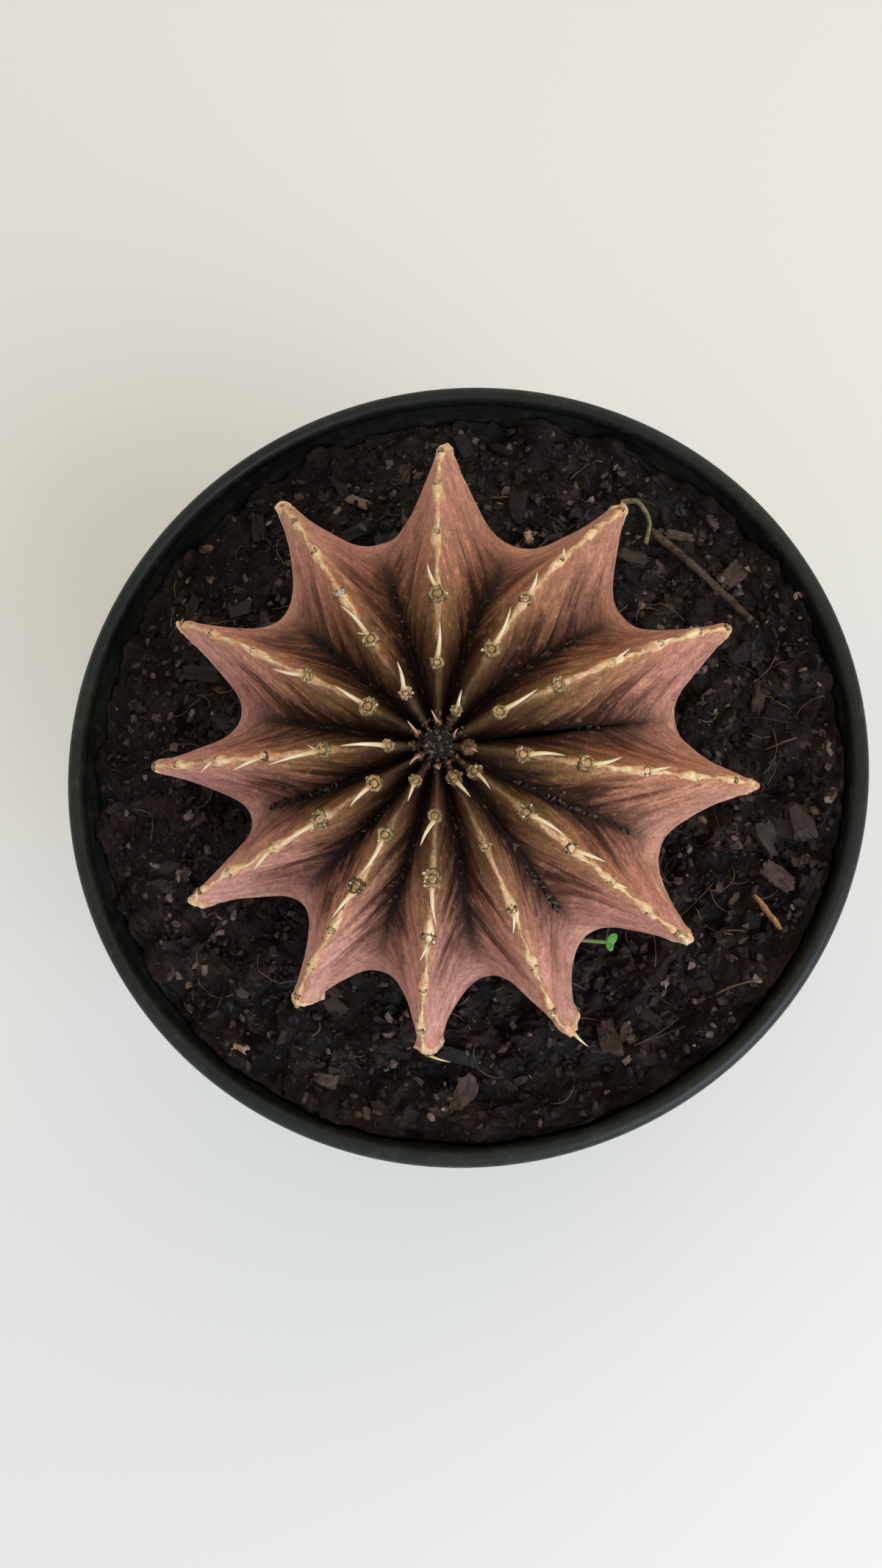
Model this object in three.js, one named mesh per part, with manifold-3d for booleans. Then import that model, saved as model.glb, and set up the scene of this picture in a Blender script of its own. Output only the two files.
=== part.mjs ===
// A potted Gymnocalycium friedrichii, seen in its nursery pot: a flattened cactus of twelve sharp
// ribs, grown as one piece with its areoles, spines and roots, in a round pot of bark soil.
// Millimetres, +Z up, origin at the middle of the pot's foot.

import * as THREE from "three";
import { mergeVertices } from "three/addons/utils/BufferGeometryUtils.js";
import Module from "manifold-3d";

const wasm = await Module();
wasm.setup();

// Pot, moulded in thin plastic with a collar under a rolled lip
const POT_HEIGHT = 95;
const RIM_RADIUS = 60;
const FOOT_RADIUS = 42;
const FOOT_WIDTH = 5;
const FOOT_LIFT = 3.5;
const WALL = 1.5;
const LIP = 1.35;
const COLLAR = 15;
const COLLAR_STEP = 1.8;
const POT_SIDES = 56;
const DRAINS = 6;
const DRAIN_RADIUS = 4;
const DRAIN_CIRCLE = 24;

// Soil, filled to half a centimetre below the lip, and a little higher at the right and the front
const SOIL_LEVEL = 90;
const GAP = 0.3;
const RELIEF = 0.75;
const SOIL_TILT = 0.02;
const CHIPS = 40;
const CHIP_LENGTH = [3, 6.5];
const CHIP_THICKNESS = 1.6;

// Cactus, leaning a little towards the front of the pot; heights are above the soil, on its own axis
const BASE = new THREE.Vector3(-1.5, -2.2, SOIL_LEVEL);
const LEAN = 9.5;
const LEAN_AZIMUTH = -69.5;
const CREST_RING = 19.5;
const CREST_DOME = 19.8;
const CROWN_DIP = 1.4;
const CROWN_RADIUS = 2.1;
const VALLEY_RING = 11.9;
const VALLEY_DOME = 21.5;
const NECK_CREST = 27;
const NECK_VALLEY = 21;
const ROOT_DEPTH = 34;
const ROOTS = 5;
const ROOT_LENGTH = 27;
const ROOT_RADIUS = 1.8;
const ROOT_BEND = 0.008;

// Each rib, counter-clockwise: its azimuth in degrees and how far its crest reaches from the axis;
// how far along the crest from the crown its first grown areole sits, and the next ones from there;
// how far the crest bows and swings sideways; and the share of its reach that the valley after it has
const RIBS = [
  { azimuth: 23.5, reach: 42.5, first: 8.1, spacing: 7.9, bow: 0.6, swing: 0.1, web: 0.77 },
  { azimuth: 54, reach: 42.8, first: 4.8, spacing: 8.1, bow: 0.8, swing: 1, web: 0.76 },
  { azimuth: 89, reach: 43.4, first: 9.4, spacing: 9.1, bow: 0.6, swing: -0.2, web: 0.78 },
  { azimuth: 122, reach: 41.5, first: 6.8, spacing: 8.2, bow: -0.1, swing: 0.1, web: 0.765 },
  { azimuth: 152.5, reach: 41.2, first: 9.5, spacing: 8.8, bow: -0.3, swing: 0, web: 0.745 },
  { azimuth: 181, reach: 39.7, first: 5.8, spacing: 8, bow: 0.7, swing: 0.1, web: 0.73 },
  { azimuth: 209.5, reach: 39.4, first: 9.1, spacing: 8, bow: 0.2, swing: 0.6, web: 0.73 },
  { azimuth: 239, reach: 39, first: 5.4, spacing: 7.3, bow: -0.2, swing: 0.3, web: 0.785 },
  { azimuth: 266.5, reach: 39.9, first: 8.8, spacing: 7.7, bow: -0.5, swing: 0.5, web: 0.765 },
  { azimuth: 294.5, reach: 40.6, first: 4.9, spacing: 8.7, bow: -1, swing: 0.5, web: 0.77 },
  { azimuth: 322.5, reach: 41.3, first: 6, spacing: 7.3, bow: -0.6, swing: 0, web: 0.785 },
  { azimuth: 354, reach: 42, first: 10.2, spacing: 8, bow: -0.5, swing: -0.4, web: 0.785 },
];

// Areoles and spines
const AREOLE_RADIUS = 1.35;
const AREOLE_HEIGHT = 1.7;
const YOUNG_STEP = 6.2;
const YOUNG_SCALE = 0.62;
const LOWEST_AREOLE = 9;
const SPINE_LENGTH = [3.8, 5.4];
const SPINE_RADIUS = 0.46;
const SPINE_BEND = 0.045;
const SIDE_SPINE_LENGTH = 2.3;
const SIDE_SPINE_SHARE = 0.25;
const OLD_FROM = 0.72;
const OLD_SPINE_SHARE = 0.45;
const OLD_SPINE_SCALE = 0.7;

// What lies or sprouts on the soil, as points on the ground plan
const SEEDLING_PATH = [[16.3, -28.1], [17.3, -28.4], [19.6, -28.8], [21.9, -29.1]];
const SEEDLING_RISE = [-3.5, 1.2, 3.2, 4];
const TWIG_PATH = [[30.9, 35.2], [35.7, 30], [40.5, 25.1], [45, 19.8]];
const STRAW_PATH = [[26.3, 40.5], [28.6, 39.8], [30.4, 37.1], [29.7, 33.4]];
const SLIVER_ENDS = [[42.7, -22.3], [46.3, -27.1]];

// Random draws, the same on every run

function draws(seed) {
  let state = seed;
  return () => {
    state = (state + 0x6d2b79f5) | 0;
    let mixed = Math.imul(state ^ (state >>> 15), 1 | state);
    mixed = (mixed + Math.imul(mixed ^ (mixed >>> 7), 61 | mixed)) ^ mixed;
    return ((mixed ^ (mixed >>> 14)) >>> 0) / 2 ** 32;
  };
}

function between([low, high], draw) {
  return low + (high - low) * draw();
}

// Solids for cutting and joining

const MERGE_DISTANCE = 1e-3;

function solid(geometry) {
  const bare = geometry.clone();
  bare.deleteAttribute("normal");
  bare.deleteAttribute("uv");
  const merged = mergeVertices(bare, MERGE_DISTANCE);
  return new wasm.Manifold(
    new wasm.Mesh({
      numProp: 3,
      vertProperties: merged.attributes.position.array,
      triVerts: new Uint32Array(merged.index.array),
    }),
  );
}

function joined(geometries) {
  return wasm.Manifold.union(geometries.map(solid));
}

// The geometry of the largest body, without the loose scraps that a cut may leave.
function geometryOf(made) {
  const bodies = made.decompose();
  bodies.sort((a, b) => b.volume() - a.volume());
  const { numProp, vertProperties, triVerts } = bodies[0].getMesh();
  const position = new Float32Array((vertProperties.length / numProp) * 3);
  for (let i = 0; i * numProp < vertProperties.length; i++)
    position.set(vertProperties.subarray(i * numProp, i * numProp + 3), i * 3);
  const geometry = new THREE.BufferGeometry();
  geometry.setAttribute("position", new THREE.BufferAttribute(position, 3));
  geometry.setIndex(new THREE.BufferAttribute(triVerts, 1));
  geometry.computeVertexNormals();
  return geometry;
}

// Shapes that several pieces share

function turned(profile, sides) {
  const points = profile.map(([radius, height]) => new THREE.Vector2(radius, height));
  return new THREE.LatheGeometry(points, sides).rotateX(Math.PI / 2);
}

// A closed skin of columns round the axis and rings from the top pole to the bottom one.
function skin(columns, rings, placeOf) {
  const geometry = new THREE.SphereGeometry(1, columns, rings);
  const position = geometry.attributes.position;
  for (let ring = 0; ring <= rings; ring++)
    for (let column = 0; column <= columns; column++) {
      const place = placeOf(column % columns, ring);
      position.setXYZ(ring * (columns + 1) + column, place.x, place.y, place.z);
    }
  return geometry;
}

// A tapered needle that leaves the origin along +Y and bends towards -Z with the square of its way.
function needle({ radius, length, sides, steps, bend }) {
  const geometry = new THREE.ConeGeometry(radius, length, sides, steps);
  geometry.translate(0, length / 2, 0);
  const position = geometry.attributes.position;
  for (let i = 0; i < position.count; i++)
    position.setZ(i, position.getZ(i) - bend * position.getY(i) ** 2);
  return geometry;
}

// Turns a shape so that its +Y runs along `along` and its +Z as near as can be along `up`.
function stood(geometry, at, along, up) {
  const y = along.clone().normalize();
  const x = y.clone().cross(up).normalize();
  const z = x.clone().cross(y);
  const turn = new THREE.Matrix4().makeBasis(x, y, z).setPosition(at);
  return geometry.applyMatrix4(turn);
}

function tube(points, width, height, steps) {
  const section = new THREE.Shape();
  section.absellipse(0, 0, height / 2, width / 2, 0, 2 * Math.PI);
  const extrudePath = new THREE.CatmullRomCurve3(points);
  const curveSegments = 3;
  return new THREE.ExtrudeGeometry(section, { steps, extrudePath, curveSegments });
}

// Pot

const COLLAR_BOTTOM = POT_HEIGHT - COLLAR;
const COLLAR_RADIUS = RIM_RADIUS - 1.1;
const COLLAR_TAPER = 0.7;
const FLOOR_TOP = FOOT_LIFT + WALL;
const LEDGE_RADIUS = COLLAR_RADIUS - COLLAR_TAPER - COLLAR_STEP;

// The pot's inside from the floor's middle to the lip, which the soil follows at its gap.
const POT_INSIDE = [
  [0, FLOOR_TOP],
  [FOOT_RADIUS - 3, FLOOR_TOP],
  [FOOT_RADIUS - WALL + 0.3, FLOOR_TOP + 1.8],
  [LEDGE_RADIUS - WALL, COLLAR_BOTTOM - 0.8],
  [COLLAR_RADIUS - COLLAR_TAPER - WALL, COLLAR_BOTTOM + 1.2],
  [COLLAR_RADIUS - WALL, POT_HEIGHT - 2 * LIP],
];

function lipArc() {
  const from = -Math.PI / 4;
  const sweep = 1.5 * Math.PI;
  const steps = 6;
  return Array.from({ length: steps + 1 }, (_, i) => {
    const angle = from + (sweep * i) / steps;
    return [
      RIM_RADIUS - LIP + LIP * Math.cos(angle),
      POT_HEIGHT - LIP + LIP * Math.sin(angle),
    ];
  });
}

function potGeometry() {
  const wall = turned(
    [
      [0, FOOT_LIFT],
      [FOOT_RADIUS - 1 - FOOT_WIDTH - 1.5, FOOT_LIFT],
      [FOOT_RADIUS - 1 - FOOT_WIDTH, 0],
      [FOOT_RADIUS - 1, 0],
      [FOOT_RADIUS, 1],
      [LEDGE_RADIUS, COLLAR_BOTTOM - 1.2],
      [COLLAR_RADIUS - COLLAR_TAPER, COLLAR_BOTTOM],
      [COLLAR_RADIUS, POT_HEIGHT - 2 * LIP],
      ...lipArc(),
      ...POT_INSIDE.toReversed(),
    ],
    POT_SIDES,
  );
  const drains = Array.from({ length: DRAINS }, (_, i) => {
    const angle = (2 * Math.PI * i) / DRAINS;
    const drain = new THREE.CylinderGeometry(DRAIN_RADIUS, DRAIN_RADIUS, 4 * FLOOR_TOP, 12);
    drain.rotateX(Math.PI / 2);
    return drain.translate(DRAIN_CIRCLE * Math.cos(angle), DRAIN_CIRCLE * Math.sin(angle), 0);
  });
  return geometryOf(solid(wall).subtract(joined(drains)));
}

// Cactus: meridians run from 0 at the crown to 1 at the widest ring, 2 at the soil, 3 at the root's tip

const DOME_RINGS = 10;
const UNDERSIDE_RINGS = 4;
const ROOT_RINGS = 3;
const RINGS = DOME_RINGS + UNDERSIDE_RINGS + ROOT_RINGS;
const FLANK_COLUMNS = [-0.7, -0.42, -0.2, 0, 0.2, 0.42, 0.7, 1];
const UNDERSIDE_POWER = 1.7;
const ROOT_POWER = 1.6;
const TIP_GROWTH = 3;
const CROWN_POWER = 1.25;
const FIN_POWER = 2.35;
const NECK_POWER = 1.55;
const CROWN_ROUNDING = 0.3;
const EDGE_ROUNDING = 0.05;

function meridian(t, { reach, ring, dome, neck, out, up }) {
  const angle = (Math.min(t, 1) * Math.PI) / 2;
  const under = Math.min(Math.max(t - 1, 0), 1);
  const deep = Math.max(t - 2, 0);
  if (t <= 1)
    return {
      radius: reach * Math.sin(angle) ** out,
      height: ring + dome * Math.max(Math.cos(angle), 0) ** up,
    };
  return {
    radius: (reach - (reach - neck) * under ** UNDERSIDE_POWER) * (1 - deep) ** ROOT_POWER,
    height: ring * (1 - under) - ROOT_DEPTH * deep,
  };
}

function crest(t, reach) {
  const line = { reach, ring: CREST_RING, dome: CREST_DOME, neck: NECK_CREST, out: 0.88, up: 1.54 };
  const { radius, height } = meridian(t, line);
  const dip = t < 1 ? CROWN_DIP * Math.exp(-((radius / 4) ** 2)) : 0;
  return { radius, height: height - dip };
}

function valley(t, reach) {
  const line = { reach, ring: VALLEY_RING, dome: VALLEY_DOME, neck: NECK_VALLEY, out: 1.08, up: 1.54 };
  return meridian(t, line);
}

// How much of the way from valley to crest a flank stands, u of the way out from the crest: round
// ridges with steep sides at the crown, hollow sharp fins at the widest ring, and rounder ones below.
function flank(u, t) {
  const { lerp, smoothstep } = THREE.MathUtils;
  const rounding = lerp(CROWN_ROUNDING, EDGE_ROUNDING, smoothstep(t, 0, 0.4));
  const across = (Math.hypot(u, rounding) - rounding) / (Math.hypot(1, rounding) - rounding);
  const above = lerp(CROWN_POWER, FIN_POWER, smoothstep(t, 0.1, 0.8));
  const power = lerp(above, NECK_POWER, smoothstep(t, 1.4, 2));
  const whole = Math.min(t / 0.08, (3 - t) / 0.2, 1);
  return 0.6 + (Math.max(1 - across, 0) ** power - 0.6) * whole;
}

// How far a crest stands beside its straight line.
function sideways({ bow, swing }, t) {
  const along = Math.PI * Math.min(t, 1);
  return bow * Math.sin(along) + swing * Math.sin(2 * along);
}

// The point of the skin on a rib's flank: u from -1 in the valley before it over 0 on its crest to 1
// in the valley after it. A grown skin is wider all round and hangs lower below the widest ring.
function onBody(index, u, t, grown = 0) {
  const rib = RIBS[index];
  const beside = RIBS[(index + (u < 0 ? RIBS.length - 1 : 1)) % RIBS.length];
  const turn = THREE.MathUtils.euclideanModulo(beside.azimuth - rib.azimuth + 180, 360) - 180;
  const angle = THREE.MathUtils.degToRad(rib.azimuth + (Math.abs(u) * turn) / 2);
  const web = u < 0 ? beside.web : rib.web;
  const high = crest(t, rib.reach);
  const low = valley(t, (web * (rib.reach + beside.reach)) / 2);
  const stands = flank(Math.abs(u), t);
  const radius = THREE.MathUtils.lerp(low.radius, high.radius, stands) + (t > 0 && t < 3 ? grown : 0);
  const lowered = t < 3 ? THREE.MathUtils.smoothstep(t, 1, 1.25) : TIP_GROWTH;
  const height = THREE.MathUtils.lerp(low.height, high.height, stands) - lowered * grown;
  const aside = THREE.MathUtils.lerp(sideways(rib, t), sideways(beside, t), Math.abs(u) / 2);
  return new THREE.Vector3(
    radius * Math.cos(angle) - aside * Math.sin(angle),
    radius * Math.sin(angle) + aside * Math.cos(angle),
    height,
  );
}

function bodySkin(grown) {
  const perRib = FLANK_COLUMNS.length;
  const meridianAt = (ring) => {
    if (ring <= DOME_RINGS) return ring / DOME_RINGS;
    if (ring <= DOME_RINGS + UNDERSIDE_RINGS) return 1 + (ring - DOME_RINGS) / UNDERSIDE_RINGS;
    return 2 + (ring - DOME_RINGS - UNDERSIDE_RINGS) / ROOT_RINGS;
  };
  return skin(perRib * RIBS.length, RINGS, (column, ring) => {
    const rib = Math.floor(column / perRib);
    return onBody(rib, FLANK_COLUMNS[column % perRib], meridianAt(ring), grown);
  });
}

function roots(grown) {
  return Array.from({ length: ROOTS }, (_, i) => {
    const angle = (2 * Math.PI * (i + 0.35 * (i % 2))) / ROOTS;
    const out = new THREE.Vector3(Math.cos(angle), Math.sin(angle), 0);
    const along = out.clone().setZ(-0.45 - 0.12 * (i % 3));
    const root = needle({
      radius: ROOT_RADIUS + grown,
      length: ROOT_LENGTH + 3 * grown,
      sides: 5,
      steps: 3,
      bend: ROOT_BEND,
    });
    return stood(root, out.multiplyScalar(5).setZ(-9), along, new THREE.Vector3(0, 0, 1));
  });
}

// The dark woolly crown: small knobs round a middle one
function crown() {
  const knobs = 7;
  return Array.from({ length: knobs }, (_, i) => {
    const knob = new THREE.IcosahedronGeometry(i ? 0.95 : 1.3, 0);
    const angle = (2 * Math.PI * i) / (knobs - 1);
    const out = i ? CROWN_RADIUS - 0.8 : 0;
    const height = crest(0.05, RIBS[0].reach).height - (i ? 0.5 : 0.1);
    return knob.rotateZ(angle).translate(out * Math.cos(angle), out * Math.sin(angle), height);
  });
}

// Where a rib's areoles sit on its meridian, walked along the crest from the crown.
function areolePlaces({ reach, first, spacing }) {
  const walkStep = 0.005;
  const places = [];
  const young = first - YOUNG_STEP;
  let next = young > CROWN_RADIUS ? young : first;
  let walked = 0;
  let from = crest(0, reach);
  for (let t = walkStep; t < 2; t += walkStep) {
    const to = crest(t, reach);
    walked += Math.hypot(to.radius - from.radius, to.height - from.height);
    from = to;
    if (to.height < LOWEST_AREOLE) break;
    if (walked < next) continue;
    places.push({ t, young: next < first, distance: next });
    next = next < first ? first : next + spacing;
  }
  return places;
}

// An areole and its spines on the crest of a rib.
function areole(rib, { t, young }, draw) {
  const at = onBody(rib, 0, t);
  const ahead = onBody(rib, 0, t + 0.01).sub(onBody(rib, 0, t - 0.01)).normalize();
  const side = new THREE.Vector3(-at.y, at.x, 0).normalize();
  const normal = ahead.clone().cross(side).normalize();
  const scale = young ? YOUNG_SCALE : 1;
  const cushion = new THREE.CylinderGeometry(
    0.62 * AREOLE_RADIUS * scale,
    AREOLE_RADIUS * scale,
    AREOLE_HEIGHT * scale,
    5,
  );
  const pieces = [stood(cushion, at, normal, ahead)];
  const spine = (length, yaw, lift, radius, steps) => {
    const along = ahead
      .clone()
      .multiplyScalar(Math.cos(yaw) * Math.cos(lift))
      .addScaledVector(side, Math.sin(yaw) * Math.cos(lift))
      .addScaledVector(normal, Math.sin(lift));
    const shape = needle({ radius, length, sides: 3, steps, bend: steps > 1 ? SPINE_BEND : 0 });
    const root = at.clone().addScaledVector(normal, 0.15 * scale);
    pieces.push(stood(shape, root, along, normal));
  };
  const old = t > OLD_FROM;
  if (old && draw() > OLD_SPINE_SHARE) return pieces;
  const length = between(SPINE_LENGTH, draw) * (young ? YOUNG_SCALE : old ? OLD_SPINE_SCALE : 1);
  const lift = old ? 0.2 : 0.4 + 0.2 * draw();
  spine(length, 0.35 * (2 * draw() - 1), lift, SPINE_RADIUS * (young ? 0.8 : 1), young || old ? 1 : 2);
  if (!young && !old && draw() < SIDE_SPINE_SHARE)
    for (const turn of [-1, 1])
      spine(SIDE_SPINE_LENGTH, turn * (0.9 + 0.3 * draw()), 0.4, 0.7 * SPINE_RADIUS, 1);
  return pieces;
}

function cactusGeometry() {
  const draw = draws(12);
  const pieces = [bodySkin(0), ...roots(0), ...crown()];
  RIBS.forEach((rib, index) => {
    for (const place of areolePlaces(rib)) pieces.push(...areole(index, place, draw));
  });
  return geometryOf(joined(pieces));
}

function plantPose() {
  const toward = THREE.MathUtils.degToRad(LEAN_AZIMUTH);
  const hinge = new THREE.Vector3(-Math.sin(toward), Math.cos(toward), 0);
  const turn = new THREE.Quaternion().setFromAxisAngle(hinge, THREE.MathUtils.degToRad(LEAN));
  return new THREE.Matrix4().compose(BASE, turn, new THREE.Vector3(1, 1, 1));
}

// Soil

// The ground's height over its level: soft lumps a centimetre or so apart on a slight tilt.
function ground(x, y) {
  const across = Math.sin(0.52 * x + 1.4 * Math.sin(0.27 * y));
  const along = Math.sin(0.6 * y + 1.2 * Math.sin(0.33 * x) + 2);
  const fine = 0.5 * Math.sin(1.05 * x - 0.85 * y);
  return RELIEF * (across + along + fine) + SOIL_TILT * (x - y);
}

function soilBulk() {
  const rings = [52, 47.5, 43, 38.5, 34, 29.5, 25, 0];
  const side = POT_INSIDE.slice(0, -1).map(([radius, height]) => [
    Math.max(radius - GAP, 0),
    height + (height < COLLAR_BOTTOM / 2 ? GAP : -GAP),
  ]);
  const up = (SOIL_LEVEL - COLLAR_BOTTOM) / COLLAR;
  const edge = COLLAR_RADIUS - COLLAR_TAPER * (1 - up) - WALL - GAP;
  const top = [edge, ...rings].map((radius) => [radius, SOIL_LEVEL]);
  const bulk = turned([...side, ...top], POT_SIDES);
  const position = bulk.attributes.position;
  for (let i = 0; i < position.count; i++)
    if (position.getZ(i) > SOIL_LEVEL - 0.1)
      position.setZ(i, SOIL_LEVEL + ground(position.getX(i), position.getY(i)));
  return bulk;
}

// Bark chips lying in the top of the soil, each sunk a little over half its thickness
function chips() {
  const draw = draws(5);
  return Array.from({ length: CHIPS }, () => {
    const length = between(CHIP_LENGTH, draw);
    const width = length * (0.35 + 0.35 * draw());
    const out = 54 - length / 2;
    const radius = Math.sqrt(between([29 ** 2, out ** 2], draw));
    const angle = 2 * Math.PI * draw();
    const chip = new THREE.OctahedronGeometry(1, 0);
    chip.scale(length / 2, width / 2, CHIP_THICKNESS * (0.5 + 0.5 * draw()));
    chip.rotateX(0.5 * draw() - 0.25).rotateY(0.5 * draw() - 0.25);
    chip.rotateZ(2 * Math.PI * draw());
    const [x, y] = [radius * Math.cos(angle), radius * Math.sin(angle)];
    return chip.translate(x, y, SOIL_LEVEL + ground(x, y) + 0.1);
  });
}

// What lies on the soil follows the ground along its path, raised by a height of its own
function laid(path, raise) {
  return path.map(([x, y]) => new THREE.Vector3(x, y, SOIL_LEVEL + ground(x, y) + raise));
}

function twigShape(grown) {
  return tube(laid(TWIG_PATH, 0.5), 1.3 + grown, 1.3 + grown, 7);
}

function strawShape(grown) {
  return tube(laid(STRAW_PATH, 0.5), 1.5 + grown, 0.8 + grown, 8);
}

function sliverShape(grown) {
  const [from, to] = laid(SLIVER_ENDS, 0.7);
  const along = to.clone().sub(from);
  const outline = new THREE.Shape();
  const [half, end] = [0.8 + grown / 2, along.length() + grown / 2];
  outline.moveTo(-0.3 * half, -grown / 2);
  outline.quadraticCurveTo(-1.3 * half, 0.55 * end, -0.7 * half, end);
  outline.lineTo(0.6 * half, end);
  outline.quadraticCurveTo(1.4 * half, 0.5 * end, 0.4 * half, -grown / 2);
  const depth = 0.7 + grown;
  const flat = new THREE.ExtrudeGeometry(outline, { depth, bevelEnabled: false, curveSegments: 5 });
  return stood(flat.translate(0, 0, -depth / 2), from, along, new THREE.Vector3(0, 0, 1));
}

function seedlingStem(grown) {
  const points = SEEDLING_PATH.map(
    ([x, y], i) => new THREE.Vector3(x, y, SOIL_LEVEL + SEEDLING_RISE[i]),
  );
  return tube(points, 0.8 + grown, 0.8 + grown, 6);
}

// A pale bent stem with its pair of seed leaves
function seedlingGeometry() {
  const [x, y] = SEEDLING_PATH.at(-1);
  const leaves = [-1, 1].map((turn) => {
    const leaf = new THREE.SphereGeometry(1, 8, 5);
    leaf.scale(0.85, 1.15, 0.36).translate(0, 0.95, 0);
    leaf.rotateX(0.15).rotateZ(turn > 0 ? -0.5 : Math.PI + 0.1);
    return leaf.translate(x, y, SOIL_LEVEL + SEEDLING_RISE.at(-1) + 0.1);
  });
  return geometryOf(joined([seedlingStem(0), ...leaves]));
}

function soilGeometry() {
  const pose = plantPose();
  const clearances = [bodySkin(GAP + 0.05), ...roots(GAP)].map((shape) => shape.applyMatrix4(pose));
  clearances.push(twigShape(2 * GAP), strawShape(2 * GAP), sliverShape(2 * GAP), seedlingStem(2 * GAP));
  return geometryOf(joined([soilBulk(), ...chips()]).subtract(joined(clearances)));
}

// The whole

function material(color, roughness) {
  return new THREE.MeshStandardMaterial({ color, roughness, metalness: 0 });
}

function piece(name, geometry, look) {
  const mesh = new THREE.Mesh(geometry, look);
  mesh.name = name;
  return mesh;
}

const plant = new THREE.Group();
plant.applyMatrix4(plantPose());
plant.add(piece("cactus", cactusGeometry(), material(0xa06a5a, 0.6)));

const litter = new THREE.Group();
litter.add(
  piece("twig", geometryOf(solid(twigShape(0))), material(0x5d4a3c, 0.85)),
  piece("straw", geometryOf(solid(strawShape(0))), material(0x7d7050, 0.8)),
  piece("bark_sliver", geometryOf(solid(sliverShape(0))), material(0x9a6a40, 0.8)),
);

const potted = new THREE.Group();
potted.add(
  piece("pot", potGeometry(), material(0x1c2422, 0.42)),
  piece("soil", soilGeometry(), material(0x2b211d, 0.95)),
  plant,
  piece("seedling", seedlingGeometry(), material(0x6fa550, 0.55)),
  litter,
);

export default potted;
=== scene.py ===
import functools
import math
import random

import bmesh
import bpy
from mathutils import Matrix, Vector, noise


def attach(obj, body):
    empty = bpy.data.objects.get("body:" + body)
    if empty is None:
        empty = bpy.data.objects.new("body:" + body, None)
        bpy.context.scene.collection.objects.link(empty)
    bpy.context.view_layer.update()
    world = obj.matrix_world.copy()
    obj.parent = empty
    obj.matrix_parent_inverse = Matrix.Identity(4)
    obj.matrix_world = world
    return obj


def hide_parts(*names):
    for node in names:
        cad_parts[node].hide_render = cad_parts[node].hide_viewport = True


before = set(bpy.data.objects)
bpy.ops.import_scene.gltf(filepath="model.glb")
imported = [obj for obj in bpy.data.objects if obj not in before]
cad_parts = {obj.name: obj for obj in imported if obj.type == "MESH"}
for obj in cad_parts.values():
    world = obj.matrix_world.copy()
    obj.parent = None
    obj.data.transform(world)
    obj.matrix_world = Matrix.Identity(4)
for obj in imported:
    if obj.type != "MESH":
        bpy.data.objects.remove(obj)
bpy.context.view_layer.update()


# Pot
# A thin nursery pot, injection moulded in one piece from dark green-black plastic: a tapered wall,
# a stepped collar under a rolled lip, and a raised floor with six drain holes inside a foot ring.

MM = 0.001
pot_height = 95
rim_radius = 60
foot_radius = 42
foot_width = 5
foot_lift = 3.5
wall = 1.5
lip = 1.35
collar_bottom = 80
collar_radius = 58.9
collar_taper = 0.7
ledge_radius = collar_radius - collar_taper - 1.8
floor_top = foot_lift + wall
floor_edge = 33
drain_radius = 4
drain_circle = 24
drains = 6


def shade(red, green, blue):
    """A colour as the eye names it, 0 to 255, in the linear light that the materials work in."""
    linear = [
        (part / 255 / 12.92) if part < 10 else ((part / 255 + 0.055) / 1.055) ** 2.4
        for part in (red, green, blue)
    ]
    return (*linear, 1)


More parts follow.
